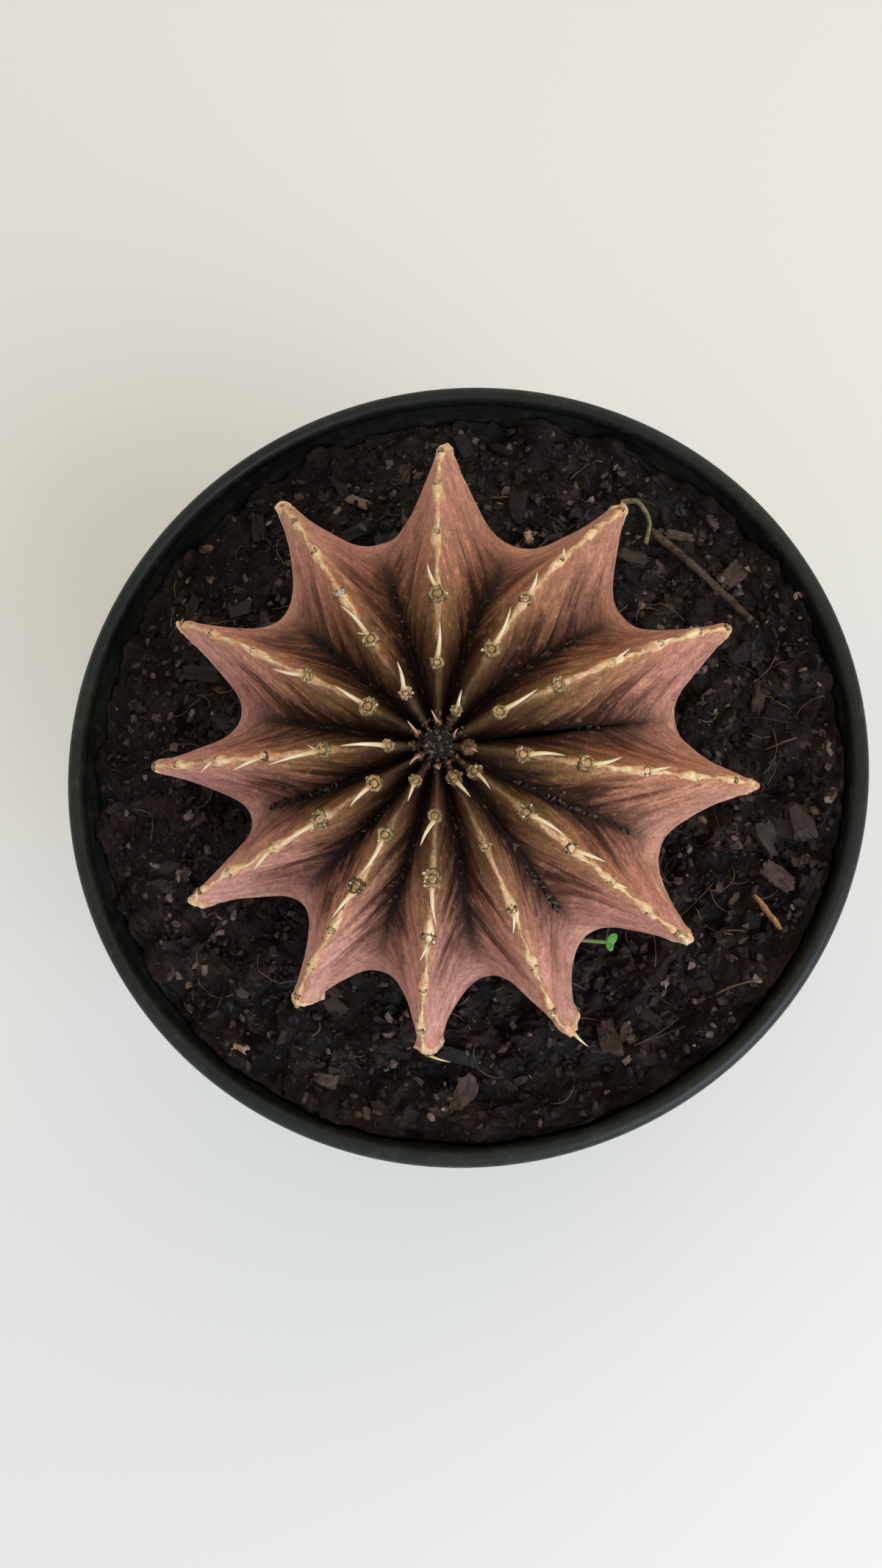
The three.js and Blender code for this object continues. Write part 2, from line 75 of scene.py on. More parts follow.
class Value:
    """One output in a material. Arithmetic on it adds Math nodes; node() adds any other node."""

    def __init__(self, tree, output):
        self.tree = tree
        self.output = output

    def node(self, kind, inputs, output=0, stops=(), **settings):
        added = self.tree.nodes.new("ShaderNode" + kind)
        for name, setting in settings.items():
            setattr(added, name, setting)
        for place, colour in stops[1:-1]:
            added.color_ramp.elements.new(place)
        for number, (place, colour) in enumerate(stops):
            added.color_ramp.elements[number].position = place
            added.color_ramp.elements[number].color = colour
        for name, value in inputs.items():
            if isinstance(value, Value):
                self.tree.links.new(value.output, added.inputs[name])
            else:
                added.inputs[name].default_value = value
        return Value(self.tree, added.outputs[output])

    def math(self, operation, *values):
        return self.node("Math", dict(enumerate(values)), operation=operation)

    def __add__(self, other):
        return self.math("ADD", self, other)

    def __sub__(self, other):
        return self.math("SUBTRACT", self, other)

    def __mul__(self, other):
        return self.math("MULTIPLY", self, other)

    def __truediv__(self, other):
        return self.math("DIVIDE", self, other)

    def __pow__(self, other):
        return self.math("POWER", self, other)

    def __abs__(self):
        return self.math("ABSOLUTE", self)

    def __rsub__(self, other):
        return self.math("SUBTRACT", other, self)

    def __rtruediv__(self, other):
        return self.math("DIVIDE", other, self)

    __radd__ = __add__
    __rmul__ = __mul__

    def rise(self, low, high):
        """0 below low, 1 above high, with soft shoulders."""
        inputs = {"Value": self, "From Min": low, "From Max": high}
        return self.node("MapRange", inputs, interpolation_type="SMOOTHSTEP")

    def pick(self, low, high):
        """The colour low where this is 0 and high where it is 1."""
        return self.node("Mix", {0: self, 6: low, 7: high}, output=2, data_type="RGBA")

    def ramp(self, *stops):
        """The colour between (place, colour) stops, given in order."""
        return self.node("ValToRGB", {"Fac": self}, stops=stops)

    def over(self, colour, amount):
        """The colour with its lightness moved up and down by this, 0.5 leaving it as it is."""
        inputs = {0: amount, 6: colour, 7: self}
        return self.node("Mix", inputs, output=2, data_type="RGBA", blend_type="OVERLAY")

    def part(self, axis):
        return self.node("SeparateXYZ", {0: self}, output="XYZ".index(axis))

    def vector(self, x, y, z=0.0):
        return self.node("CombineXYZ", {"X": x, "Y": y, "Z": z})

    def stretched(self, x, y, z):
        return self.node("Mapping", {"Vector": self, "Scale": (x, y, z)})

    def cloud(self, scale, detail=3.0, roughness=0.55):
        inputs = {"Vector": self, "Scale": scale, "Detail": detail, "Roughness": roughness}
        return self.node("TexNoise", inputs)

    def cells(self, scale, output=0):
        return self.node("TexVoronoi", {"Vector": self, "Scale": scale}, output=output)


class Finish:
    """A new material on a piece, with its one shader and the coordinates that it may read."""

    def __init__(self, piece, name, **fixed):
        material = bpy.data.materials.new(name)
        material.use_nodes = True
        self.tree = material.node_tree
        self.shader = self.tree.nodes["Principled BSDF"]
        for socket, value in fixed.items():
            socket = socket.replace("_", " ").title().replace("Ior", "IOR")
            self.shader.inputs[socket].default_value = value
        piece.data.materials.clear()
        piece.data.materials.append(material)
        coordinates = self.tree.nodes.new("ShaderNodeTexCoord")
        self.place = Value(self.tree, coordinates.outputs["Object"])

    def strip(self, name):
        """A UV map of the piece."""
        return self.place.node("UVMap", {}, uv_map=name)

    def island(self):
        """A number from 0 to 1, the same all over each loose bit of the piece."""
        return self.place.node("NewGeometry", {}, output="Random Per Island")

    def colour(self, value):
        self.tree.links.new(value.output, self.shader.inputs["Base Color"])

    def roughness(self, value):
        self.tree.links.new(value.output, self.shader.inputs["Roughness"])

    def relief(self, height, depth):
        """Raises the surface by height, 0 to 1, times a depth in millimetres."""
        bump = self.place.node("Bump", {"Height": height, "Distance": depth * MM})
        self.tree.links.new(bump.output, self.shader.inputs["Normal"])

    def grained(self, pattern, low, dark, pale, depth):
        """Colours the piece from dark to pale by a pattern of 0 to 1, and raises what is pale."""
        self.colour(pattern.rise(low, 0.7).pick(dark, pale))
        self.relief(pattern, depth)


def piece(name, shape, slot, *nodes, smooth=True):
    """Makes an object of a shape drawn in millimetres, riding on the one body."""
    bmesh.ops.scale(shape, vec=(MM, MM, MM), verts=shape.verts)
    mesh = bpy.data.meshes.new(name)
    shape.to_mesh(mesh)
    shape.free()
    mesh.polygons.foreach_set("use_smooth", [smooth] * len(mesh.polygons))
    made = bpy.data.objects.new(name, mesh)
    bpy.context.scene.collection.objects.link(made)
    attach(made, "root")
    if nodes:
        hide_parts(*nodes)
    return made


def edges_of(vertices):
    """Their edges, each once and in the same order every run."""
    return list(dict.fromkeys(edge for vertex in vertices for edge in vertex.link_edges))


def spun(profile, steps):
    """A skin turned once round Z from (radius, height) points."""
    shape = bmesh.new()
    points = [shape.verts.new((radius, 0, height)) for radius, height in profile]
    edges = [shape.edges.new(pair) for pair in zip(points, points[1:])]
    bmesh.ops.spin(
        shape,
        geom=points + edges,
        angle=math.tau,
        steps=steps,
        axis=(0, 0, 1),
        cent=(0, 0, 0),
        use_merge=True,
    )
    bmesh.ops.remove_doubles(shape, verts=shape.verts, dist=1e-4)
    return shape


lip_arc = []
for step in range(17):
    angle = -math.pi / 4 + 1.5 * math.pi * step / 16
    lip_arc.append(
        (rim_radius - lip + lip * math.cos(angle), pot_height - lip + lip * math.sin(angle))
    )
pot = spun(
    [
        (floor_edge, foot_lift),
        (foot_radius - 1 - foot_width - 1.5, foot_lift),
        (foot_radius - 1 - foot_width, 0.3),
        (foot_radius - 1 - foot_width + 0.4, 0),
        (foot_radius - 1.3, 0),
        (foot_radius - 0.4, 0.3),
        (foot_radius, 1),
        (ledge_radius - 0.1, collar_bottom - 2.2),
        (ledge_radius + 0.2, collar_bottom - 1.2),
        (collar_radius - collar_taper - 0.4, collar_bottom - 0.25),
        (collar_radius - collar_taper, collar_bottom + 0.2),
        (collar_radius, pot_height - 2 * lip),
        *lip_arc,
        (collar_radius - wall, pot_height - 2 * lip),
        (collar_radius - collar_taper - wall, collar_bottom + 1.2),
        (ledge_radius - wall, collar_bottom - 0.8),
        (foot_radius - wall + 0.3, floor_top + 1.8),
        (foot_radius - 2, floor_top + 0.5),
        (foot_radius - 3, floor_top),
        (floor_edge, floor_top),
    ],
    192,
)
holes = []
for height in (foot_lift, floor_top):
    rim = [
        edge
        for edge in pot.edges
        if edge.is_boundary and abs(edge.verts[0].co.z - height) < 0.01
    ]
    layer = []
    for index in range(drains):
        turn = math.tau * index / drains
        place = Vector((drain_circle * math.cos(turn), drain_circle * math.sin(turn), height))
        ring = bmesh.ops.create_circle(
            pot, segments=32, radius=drain_radius, matrix=Matrix.Translation(place)
        )["verts"]
        layer.append(edges_of(ring))
    loose = rim + [edge for hole in layer for edge in hole]
    bmesh.ops.triangle_fill(pot, edges=loose, use_beauty=True)
    holes.append(layer)
for below, above in zip(*holes):
    bmesh.ops.bridge_loops(pot, edges=below + above)
bmesh.ops.recalc_face_normals(pot, faces=pot.faces)
pot = piece("pot_shell", pot, "pot_plastic", "pot")
sharp = pot.modifiers.new("soft edges", "BEVEL")
sharp.width = 0.35 * MM
sharp.segments = 2
sharp.angle_limit = math.radians(35)

plastic = Finish(pot, "green-black plastic", specular_ior_level=0.32)
height = plastic.place.part("Z") / MM
across = plastic.place.part("X") / MM
along = plastic.place.part("Y") / MM
radius = (across * across + along * along) ** 0.5
turned = across.math("ARCTAN2", along, across)
mottle = plastic.place.cloud(70, 4)
grime = plastic.place.cloud(420, 5, 0.65)
round_marks = turned.vector(turned * 9, height * 5, radius * 5).cloud(1, 5, 0.7)
specks = plastic.place.cloud(2100, 2).rise(0.67, 0.73)
dust = grime.rise(0.52, 0.74) * 0.30 + specks * 0.35 + round_marks.rise(0.6, 0.8) * 0.10
inside = 1 - radius.rise(collar_radius - 1.9, collar_radius - 1.4)
splashed = inside * height.rise(80, 82) * (1 - height.rise(89, 93.5))
splashed = splashed * plastic.place.cloud(260, 6, 0.7).rise(0.42, 0.66)
body = mottle.rise(0.35, 0.65).pick(shade(12, 16, 13), shade(20, 26, 21))
body = dust.pick(body, shade(66, 70, 58))
plastic.colour((splashed * 0.6).pick(body, shade(58, 46, 38)))
plastic.roughness(0.34 + 0.14 * mottle + 0.3 * dust + 0.25 * splashed)
plastic.relief(grime * 0.6 + round_marks * 0.4, 0.05)


# Soil
# Damp compost of bark, coir and peat, filled to half a centimetre under the lip and left rough. Its
# top is clods, cracks and hollows a few millimetres across, banked up a little at the pot's wall.

soil_level = 90
gap = 0.3
soil_edge = collar_radius - collar_taper / 3 - wall - gap
noise.seed_set(5)  # without a seed, noise_vector differs from run to run
bank_height, bank_width = 1.7, 6
clod_sizes = ((4.4, 1.1, 0.7), (1.7, 0.8, 0.5))  # width, lift and depth of crack of the clods


def soft_step(value, low, high):
    share = min(max((value - low) / (high - low), 0), 1)
    return share * share * (3 - 2 * share)


def ground(x, y):
    """How far the compost's coarse lumps stand over its level."""
    across = math.sin(0.52 * x + 1.4 * math.sin(0.27 * y))
    along = math.sin(0.6 * y + 1.2 * math.sin(0.33 * x) + 2)
    return 0.75 * (across + along + 0.5 * math.sin(1.05 * x - 0.85 * y)) + 0.02 * (x - y)


def crumbled(x, y):
    """The ground banked up at the wall, with clods at heights of their own and cracks between."""
    bank = bank_height * soft_step(math.hypot(x, y), soil_edge - bank_width, soil_edge)
    height = ground(x, y) - 0.9 + bank
    for size, lift, crack in clod_sizes:
        place = Vector((x, y, 0)) / size
        place += 0.35 * noise.noise_vector(place * 1.7)
        place.z = 0
        near, points = noise.voronoi(place)
        height += lift * noise.cell(points[0] * 31) * soft_step(near[1] - near[0], 0, 0.3)
        height -= crack * (1 - soft_step(near[1] - near[0], 0, 0.16))
    return height + 0.35 * noise.noise(Vector((x, y, 0)) / 0.6)


neck_out, top_rings = 19, 118
soil = spun(
    [
        (0, floor_top + gap),
        (foot_radius - 3 - gap, floor_top + gap),
        (foot_radius - wall, floor_top + 1.8 + gap),
        (ledge_radius - wall - gap, collar_bottom - 0.8 - gap),
        (soil_edge - 0.5, collar_bottom + 1.2 - gap),
    ]
    + [
        (soil_edge - (soil_edge - neck_out) * ring / top_rings, soil_level)
        for ring in range(top_rings + 1)
    ]
    + [(neck_out * (1 - ring / 4), soil_level) for ring in range(1, 5)],
    360,
)
for vertex in soil.verts:
    if vertex.co.z > soil_level - 0.1:
        vertex.co.z += crumbled(vertex.co.x, vertex.co.y)
bmesh.ops.recalc_face_normals(soil, faces=soil.faces)
soil = piece("compost", soil, "bark_soil", "soil")

compost = Finish(soil, "damp compost", specular_ior_level=0.14)
patch = compost.place.cloud(150, 5, 0.6)
clod = compost.place.cells(280, output=1).part("X")
crumb = compost.place.cells(900)
fleck = compost.place.cloud(1500, 3)
earth = (clod * 0.7 + patch * 0.3).ramp(
    (0.15, shade(12, 8, 7)),
    (0.45, shade(25, 18, 15)),
    (0.65, shade(38, 28, 24)),
    (0.85, shade(52, 39, 33)),
)
earth = (crumb.rise(0.25, 0.6) * 0.5).pick(earth, shade(22, 16, 14))
compost.colour((fleck.rise(0.62, 0.72) * 0.4).pick(earth, shade(96, 78, 66)))
compost.roughness(0.42 + 0.35 * fleck)
compost.relief(compost.place.cloud(700, 6, 0.7) * 0.7 + crumb * 0.3, 0.5)


# Bark and coir
# Loose bits of the mix lying on and half in the compost: blocky torn bark chips, rounded crumbs, a
# few pale flecks of grit, and thin curled coir fibres. Watering has laid the bigger chips flat.

slab_count, flake_count, crumb_count, fibre_count = 170, 900, 3600, 160
fibre_steps = 7
draw = random.Random(41)


def jitter(amount):
    return draw.uniform(-amount, amount)


def rotated(angle, axis):
    return Matrix.Rotation(angle, 4, axis)


def turned_round():
    """A turn by chance round Z."""
    return rotated(draw.uniform(0, math.tau), "Z")


def sized(x, y, z):
    return Matrix.Diagonal((x, y, z, 1))


def template(shape):
    """A small shape as a mesh to copy."""
    mesh = bpy.data.meshes.new("template")
    shape.to_mesh(mesh)
    shape.free()
    return mesh


def pour(pile, mesh):
    """Adds a small mesh to the pile that becomes one piece, and is done with it."""
    pile.from_mesh(mesh, face_normals=False, vertex_normals=False)
    bpy.data.meshes.remove(mesh)


def plant(pile, model, matrix):
    """Adds a copy of a template to a pile."""
    copy = model.copy()
    copy.transform(matrix)
    pour(pile, copy)


def pebble(flatness, roughness, seed):
    """One rounded crumb about two units long."""
    shape = bmesh.new()
    bmesh.ops.create_icosphere(shape, subdivisions=1, radius=1)
    for vertex in shape.verts:
        vertex.co *= 1 + roughness * 1.8 * noise.noise(vertex.co * 1.1 + Vector((seed, 0, 0)))
        vertex.co.z *= flatness
    return template(shape)


def splinter(seed, cuts=1, tear=1.0):
    """One blocky chip of bark about two units long, split along its grain."""
    shape = bmesh.new()
    bmesh.ops.create_cube(shape, size=1.7)
    bmesh.ops.subdivide_edges(shape, edges=shape.edges, cuts=cuts, use_grid_fill=True)
    for vertex in shape.verts:
        torn = noise.noise_vector(vertex.co * 0.9 + Vector((seed * 7, 0, 0)))
        grained = Vector((vertex.co.x * 0.7, vertex.co.y * 3.4, seed * 3 + vertex.co.z))
        split = noise.noise(grained)
        frayed = noise.noise_vector(vertex.co * 2.7 + Vector((0, seed * 5, 0)))
        rounded = vertex.co * (1 - 0.16 * vertex.co.length)
        vertex.co = rounded + tear * (0.5 * torn + 0.3 * frayed)
        vertex.co += Vector((0.35 * split, 0, 0.3 * split))
    return template(shape)


def strew(pile, model, size, at, tilt):
    """Adds a copy of a template to a pile, scaled, tilted and turned at random."""
    turn = turned_round()
    lean = rotated(jitter(tilt), "X") @ rotated(jitter(tilt), "Y")
    plant(pile, model, Matrix.Translation(at) @ turn @ lean @ sized(*size))


def on_soil(most, least, raised):
    """A random place on the compost between two radii."""
    radius = math.sqrt(draw.uniform(least**2, most**2))
    turn = draw.uniform(0, math.tau)
    x, y = radius * math.cos(turn), radius * math.sin(turn)
    return Vector((x, y, soil_level + crumbled(x, y) + raised))


flakes = [splinter(seed) for seed in range(12)]
slabs = [splinter(20 + seed, 3, 0.5) for seed in range(8)]
grains = [pebble(0.8, 0.45, 20 + seed) for seed in range(8)]
chips = bmesh.new()
for _ in range(slab_count):
    length = draw.uniform(1.4, 3.6)
    size = (length, length * draw.uniform(0.35, 0.7), length * draw.uniform(0.25, 0.4))
    strew(chips, draw.choice(slabs), size, on_soil(soil_edge - length - 0.2, 24, -0.1), 0.35)
for _ in range(flake_count):
    length = draw.uniform(0.4, 1.3)
    size = (length, length * draw.uniform(0.4, 0.8), length * draw.uniform(0.25, 0.6))
    strew(chips, draw.choice(flakes), size, on_soil(soil_edge - length - 0.2, 22, 0.1), 0.7)
for _ in range(crumb_count):
    length = 0.28 + 0.7 * draw.random() ** 1.6
    size = (length, length * draw.uniform(0.5, 0.9), length * draw.uniform(0.5, 0.8))
    strew(chips, draw.choice(grains), size, on_soil(soil_edge - 1.1, 22, 0.1), 0.6)
for used in flakes + slabs + grains:
    bpy.data.meshes.remove(used)
chips = piece("bark_chips", chips, "bark_soil", smooth=False)

bark = Finish(chips, "torn bark", specular_ior_level=0.22)
grain = bark.place.stretched(1, 1, 2.5).cloud(650, 5, 0.65)
woody = bark.island().ramp(
    (0.0, shade(16, 11, 10)),
    (0.4, shade(32, 24, 21)),
    (0.65, shade(50, 39, 34)),
    (0.82, shade(76, 60, 52)),
    (0.94, shade(106, 87, 77)),
    (1.0, shade(142, 120, 106)),
)
bark.colour((grain.rise(0.35, 0.7) * 0.6).pick(woody, shade(22, 16, 14)))
bark.roughness(0.34 + 0.4 * grain)
bark.relief(grain, 0.25)

fibres = bmesh.new()
for _ in range(fibre_count):
    start = on_soil(soil_edge - 5, 25, 0.25)
    heading = draw.uniform(0, math.tau)
    curl = jitter(0.35)
    length = draw.uniform(2.5, 8)
    thickness = draw.uniform(0.06, 0.14)
    pointed = Matrix.Translation(start) @ rotated(heading, "Z") @ rotated(math.pi / 2, "Y")
    ring = bmesh.ops.create_circle(
        fibres, segments=5, radius=thickness, cap_ends=True, matrix=pointed
    )["verts"]
    end = [face for face in ring[0].link_faces]
    for step in range(fibre_steps):
        grown = bmesh.ops.extrude_face_region(fibres, geom=end)["geom"]
        ring = [part for part in grown if isinstance(part, bmesh.types.BMVert)]
        bmesh.ops.delete(fibres, geom=end, context="FACES_ONLY")
        end = [part for part in grown if isinstance(part, bmesh.types.BMFace)]
        heading += curl * (1 + jitter(0.6))
        centre = sum((vertex.co for vertex in ring), Vector()) / len(ring)
        onward = Vector((math.cos(heading), math.sin(heading), 0))
        ahead = centre + onward * length / fibre_steps
        if math.hypot(ahead.x, ahead.y) > soil_edge - 1.2:
            break
        ahead.z = soil_level + crumbled(ahead.x, ahead.y) + 0.5 + jitter(0.15)
        bmesh.ops.translate(fibres, vec=ahead - centre, verts=ring)
        bmesh.ops.rotate(fibres, verts=ring, cent=ahead, matrix=Matrix.Rotation(curl, 3, "Z"))
bmesh.ops.recalc_face_normals(fibres, faces=fibres.faces)
fibres = piece("coir_fibres", fibres, "dry_straw")

coir = Finish(fibres, "coir", roughness=0.8, specular_ior_level=0.25)
coir.colour(coir.island().pick(shade(30, 24, 20), shade(110, 88, 66)))


# Cactus body
# One plant of twelve ribs, grown in one piece: a flattened head whose round ridges at the crown
# turn into sharp fins, narrowing to a neck and a tap root that stand in a close hole in the soil.

base = Vector((-1.5, -2.2, soil_level))
lean = math.radians(9.5)
lean_azimuth = math.radians(-69.5)
hinge = Vector((-math.sin(lean_azimuth), math.cos(lean_azimuth), 0))
standing = Matrix.Translation(base) @ Matrix.Rotation(lean, 4, hinge)
crest_ring, crest_dome, crown_dip = 19.5, 19.8, 1.4
valley_ring, valley_dome = 11.9, 21.5
neck_crest, neck_valley = 27, 21
root_depth = 34

# Each rib, counter-clockwise: azimuth in degrees, reach, first areole and spacing along the crest,
# sideways bow and swing, and the share of its reach that the valley after it has. Then the spines
# that its areoles still carry, outwards from the crown: length, and turn in degrees.
ribs = [
    (23.5, 42.5, 8.1, 7.9, 0.6, 0.1, 0.77, [(4.8, 5), None, (2.8, 14), (2, 4), None]),
    (54, 42.8, 4.8, 8.1, 0.8, 1, 0.76, [(2.4, 12), (5.2, 7), (3.3, 14), (1.4, 30), None]),
    (89, 43.4, 9.4, 9.1, 0.6, -0.2, 0.78, [(4.6, -4), (3.6, 20), (2.2, -8), None]),
    (122, 41.5, 6.8, 8.2, -0.1, 0.1, 0.765, [(3.6, -20), (5.2, 10), None, None, None]),
    (152.5, 41.2, 9.5, 8.8, -0.3, 0, 0.745, [(4.2, -5), (4.1, 16), (2.2, -4), None]),
    (181, 39.7, 5.8, 8, 0.7, 0.1, 0.73, [(5.8, 0), (6.6, 12), (4.2, 22), (2.4, 40), None]),
    (209.5, 39.4, 9.1, 8, 0.2, 0.6, 0.73, [(3.5, 13), (5.2, 0), (3.4, 22), None]),
    (239, 39, 5.4, 7.3, -0.2, 0.3, 0.785, [(2.8, 12), (5.3, -2), (4.6, -8), None, None]),
    (266.5, 39.9, 8.8, 7.7, -0.5, 0.5, 0.765,
     [(3.6, -27), (5.2, 10), (2.7, -18), None, None, (3.2, 100)]),
    (294.5, 40.6, 4.9, 8.7, -1, 0.5, 0.77, [(3.2, 14), None, (2.7, -24), None, None, (4.2, 30)]),
    (322.5, 41.3, 6, 7.3, -0.6, 0, 0.785, [(3, -13), (5.4, 6), (4.3, 18), (1.9, 17), None]),
    (354, 42, 10.2, 8, -0.5, -0.4, 0.785, [(4.5, 6), (3.9, 20), (3, 15), None]),
]


def meridian(t, reach, ring, dome, neck, out):
    """Radius and height at t: 0 the crown, 1 the widest ring, 2 the soil, 3 the root tip."""
    angle = min(t, 1) * math.pi / 2
    under = min(max(t - 1, 0), 1)
    deep = min(max(t - 2, 0), 1)
    if t <= 1:
        return reach * math.sin(angle) ** out, ring + dome * max(math.cos(angle), 0) ** 1.54
    radius = (reach - (reach - neck) * under**1.7) * (1 - deep) ** 1.6
    return radius, ring * (1 - under) - root_depth * deep


def crest(t, reach):
    radius, height = meridian(t, reach, crest_ring, crest_dome, neck_crest, 0.88)
    return radius, height - (crown_dip * math.exp(-((radius / 4) ** 2)) if t < 1 else 0)


def flank(across, t):
    """How much of the way from valley to crest the skin stands, across from 0 on the crest to 1."""
    rounding = 0.3 - 0.25 * soft_step(t, 0, 0.4)
    edge = (math.hypot(across, rounding) - rounding) / (math.hypot(1, rounding) - rounding)
    fin = 1.25 + 1.1 * soft_step(t, 0.1, 0.8)
    fin += (1.55 - fin) * soft_step(t, 1.4, 2)
    whole = min(t / 0.08, (3 - t) / 0.2, 1)
    return 0.6 + (max(1 - edge, 0) ** fin - 0.6) * whole


@functools.cache
def on_body(index, u, t):
    """A place on a rib's skin, u from -1 in the valley before it to 1 in the valley after it."""
    azimuth, reach, _, _, bow, swing, web, _ = ribs[index]
    beside = ribs[(index + (-1 if u < 0 else 1)) % len(ribs)]
    turn = (beside[0] - azimuth + 180) % 360 - 180
    angle = math.radians(azimuth + abs(u) * turn / 2)
    high = crest(t, reach)
    share = beside[6] if u < 0 else web
    low = meridian(t, share * (reach + beside[1]) / 2, valley_ring, valley_dome, neck_valley, 1.08)
    stands = flank(abs(u), t)
    radius = low[0] + (high[0] - low[0]) * stands
    height = low[1] + (high[1] - low[1]) * stands
    swept = math.pi * min(t, 1)
    own = bow * math.sin(swept) + swing * math.sin(2 * swept)
    other = beside[4] * math.sin(swept) + beside[5] * math.sin(2 * swept)
    aside = own + (other - own) * abs(u) / 2
    return Vector(
        (
            radius * math.cos(angle) - aside * math.sin(angle),
            radius * math.sin(angle) + aside * math.cos(angle),
            height,
        )
    )


# The crest's length from the crown at each fine step of its meridian, for each rib.
walk_step = 0.005
walks = []
for index, rib in enumerate(ribs):
    places = [Vector(crest(step * walk_step, rib[1])) for step in range(601)]
    walk = [0.0]
    for before, after in zip(places, places[1:]):
        walk.append(walk[-1] + (after - before).length)
    walks.append(walk)


def walked(index, t):
    whole = min(int(t / walk_step), 599)
    walk = walks[index]
    return walk[whole] + (walk[whole + 1] - walk[whole]) * (t / walk_step - whole)


def found(index, distance):
    """The meridian place at a distance along the crest."""
    return walk_step * next(step for step, walk in enumerate(walks[index]) if walk >= distance)


def areole_distances(index):
    _, _, first, spacing, *_ = ribs[index]
    more = int((walked(index, 1.55) - first) / spacing)
    return [first + spacing * number for number in range(more + 1)]


columns, dome_rings, under_rings, root_rings = 48, 104, 34, 6
rings = dome_rings + under_rings + root_rings


def ring_place(share):
    ring = share * rings
    if ring <= dome_rings:
        return ring / dome_rings
    if ring <= dome_rings + under_rings:
        return 1 + (ring - dome_rings) / under_rings
    return 2 + (ring - dome_rings - under_rings) / root_rings


def round_rib(index, x):
    """u at x on the flat grid, whose columns are drawn together towards the crest."""
    straight = 2 * ((x + 0.5) * len(ribs) - index) - 1
    return math.copysign(abs(straight) ** 1.5, straight)


skin = bmesh.new()
bmesh.ops.create_grid(skin, x_segments=columns * len(ribs), y_segments=rings, size=0.5)
flank_strip = skin.loops.layers.uv.new("flank")
crest_strip = skin.loops.layers.uv.new("crest")
for face in skin.faces:
    index = int((face.calc_center_median().x + 0.5) * len(ribs))
    for loop in face.loops:
        u = round_rib(index, loop.vert.co.x)
        t = ring_place(0.5 - loop.vert.co.y)
        ahead = on_body(index, 0, min(t, 2.98) + 0.01) - on_body(index, 0, min(t, 2.98))
        offset = on_body(index, u, t) - on_body(index, 0, t)
        offset -= ahead * offset.dot(ahead) / ahead.length_squared
        loop[flank_strip].uv = (u, t)
        loop[crest_strip].uv = (math.copysign(offset.length, u), walked(index, t) + 80 * index)
places = []
for vertex in skin.verts:
    index = min(int((vertex.co.x + 0.5) * len(ribs) + 1e-4), len(ribs) - 1)
    u = round_rib(index, vertex.co.x)
    t = ring_place(0.5 - vertex.co.y)
    vertex.co = on_body(index, u, t)
    places.append((index, u, t))
skin.normal_update()
# How far the corky end of each rib is blunted and torn, in millimetres; the others are 0.5.
blunted = {6: 0.8, 7: 1.4, 8: 1.3, 9: 1.0, 11: 0.3}
for vertex, (index, u, t) in zip(skin.verts, places):
    distance = walked(index, t)
    away = (distance - ribs[index][2]) / ribs[index][3]
    phase = away - math.floor(away)
    near = (1 - abs(u)) ** 6
    grown = soft_step(t, 0.1, 0.3) * (1 - soft_step(t, 1.3, 1.8))
    seed = Vector((distance * 0.42, 11 * index, 0))
    kink = (0.5 - 0.14 * grown) * noise.noise(seed) + 0.24 * noise.noise(seed * 3)
    side = Vector((-vertex.co.y, vertex.co.x, 0)).normalized()
    slope = (on_body(index, u, t) - on_body(index, 0, t)).length if abs(u) < 0.4 else 9
    tip = soft_step(t, 0.84, 0.97) * (1 - soft_step(t, 1.2, 1.5))
    cork = math.exp(-((slope / (0.5 + 0.8 * tip)) ** 2))
    rough = noise.noise(seed * 2.2 + Vector((0, 0, 5)))
    ragged = noise.noise(vertex.co / 0.8) + 0.5 * noise.noise(vertex.co / 0.35)
    bead = cork * grown * (0.2 + 0.28 * rough + tip * (0.1 + 0.8 * ragged))
    blunt = blunted.get(index, 0.5) * tip
    blunt *= math.copysign(min(slope / 1.7, 1), u) * math.exp(-((slope / 3) ** 2))
    blunt *= 0.85 + 0.9 * noise.noise(vertex.co / 1.1)
    from_areole = min(phase, 1 - phase) * ribs[index][3]
    bulge = 0.32 * math.exp(-((from_areole / 1.5) ** 2) - (slope / 1.8) ** 2)
    bulge *= 1 - soft_step(t, 0.5, 0.9)
    creased = math.exp(-(((1 - abs(u)) / 0.08) ** 2))
    crease_dent_and_shade = -0.55 * creased * grown * (1 - soft_step(t, 0.6, 0.9))
    scallop = -0.34 * near * math.sin(math.pi * phase) ** 2 * grown * (1 - soft_step(t, 0.9, 1.2))
    oblique = t + 0.15 * abs(u)
    open_flank = math.sin(math.pi * min(abs(u), 1)) ** 0.7 * grown
    lane = 5 * index + (3 if u > 0 else 0)
    calm = soft_step(t, 0.6, 0.9)
    folds = noise.noise(Vector((oblique * 13, lane, 0.9 * abs(u))))
    wrinkles = noise.noise(Vector((oblique * 30, lane, 1.4 * abs(u))))
    swell = 0.22 * noise.noise(vertex.co / 6)
    drawn = 0.75 * folds * (1 - 0.6 * calm) + 0.42 * wrinkles * (1 - calm) + swell
    vertex.co += vertex.normal * (bead + bulge + scallop + crease_dent_and_shade + drawn * open_flank)
    swayed = kink * near * soft_step(t, 0.05, 0.16) * (1 - soft_step(t, 1.3, 1.8))
    vertex.co += side * (swayed + blunt)
bmesh.ops.remove_doubles(skin, verts=skin.verts, dist=1e-3)
bmesh.ops.transform(skin, matrix=standing, verts=skin.verts)
bmesh.ops.recalc_face_normals(skin, faces=skin.faces)
skin = piece("cactus_body", skin, "cactus_skin", "cactus")

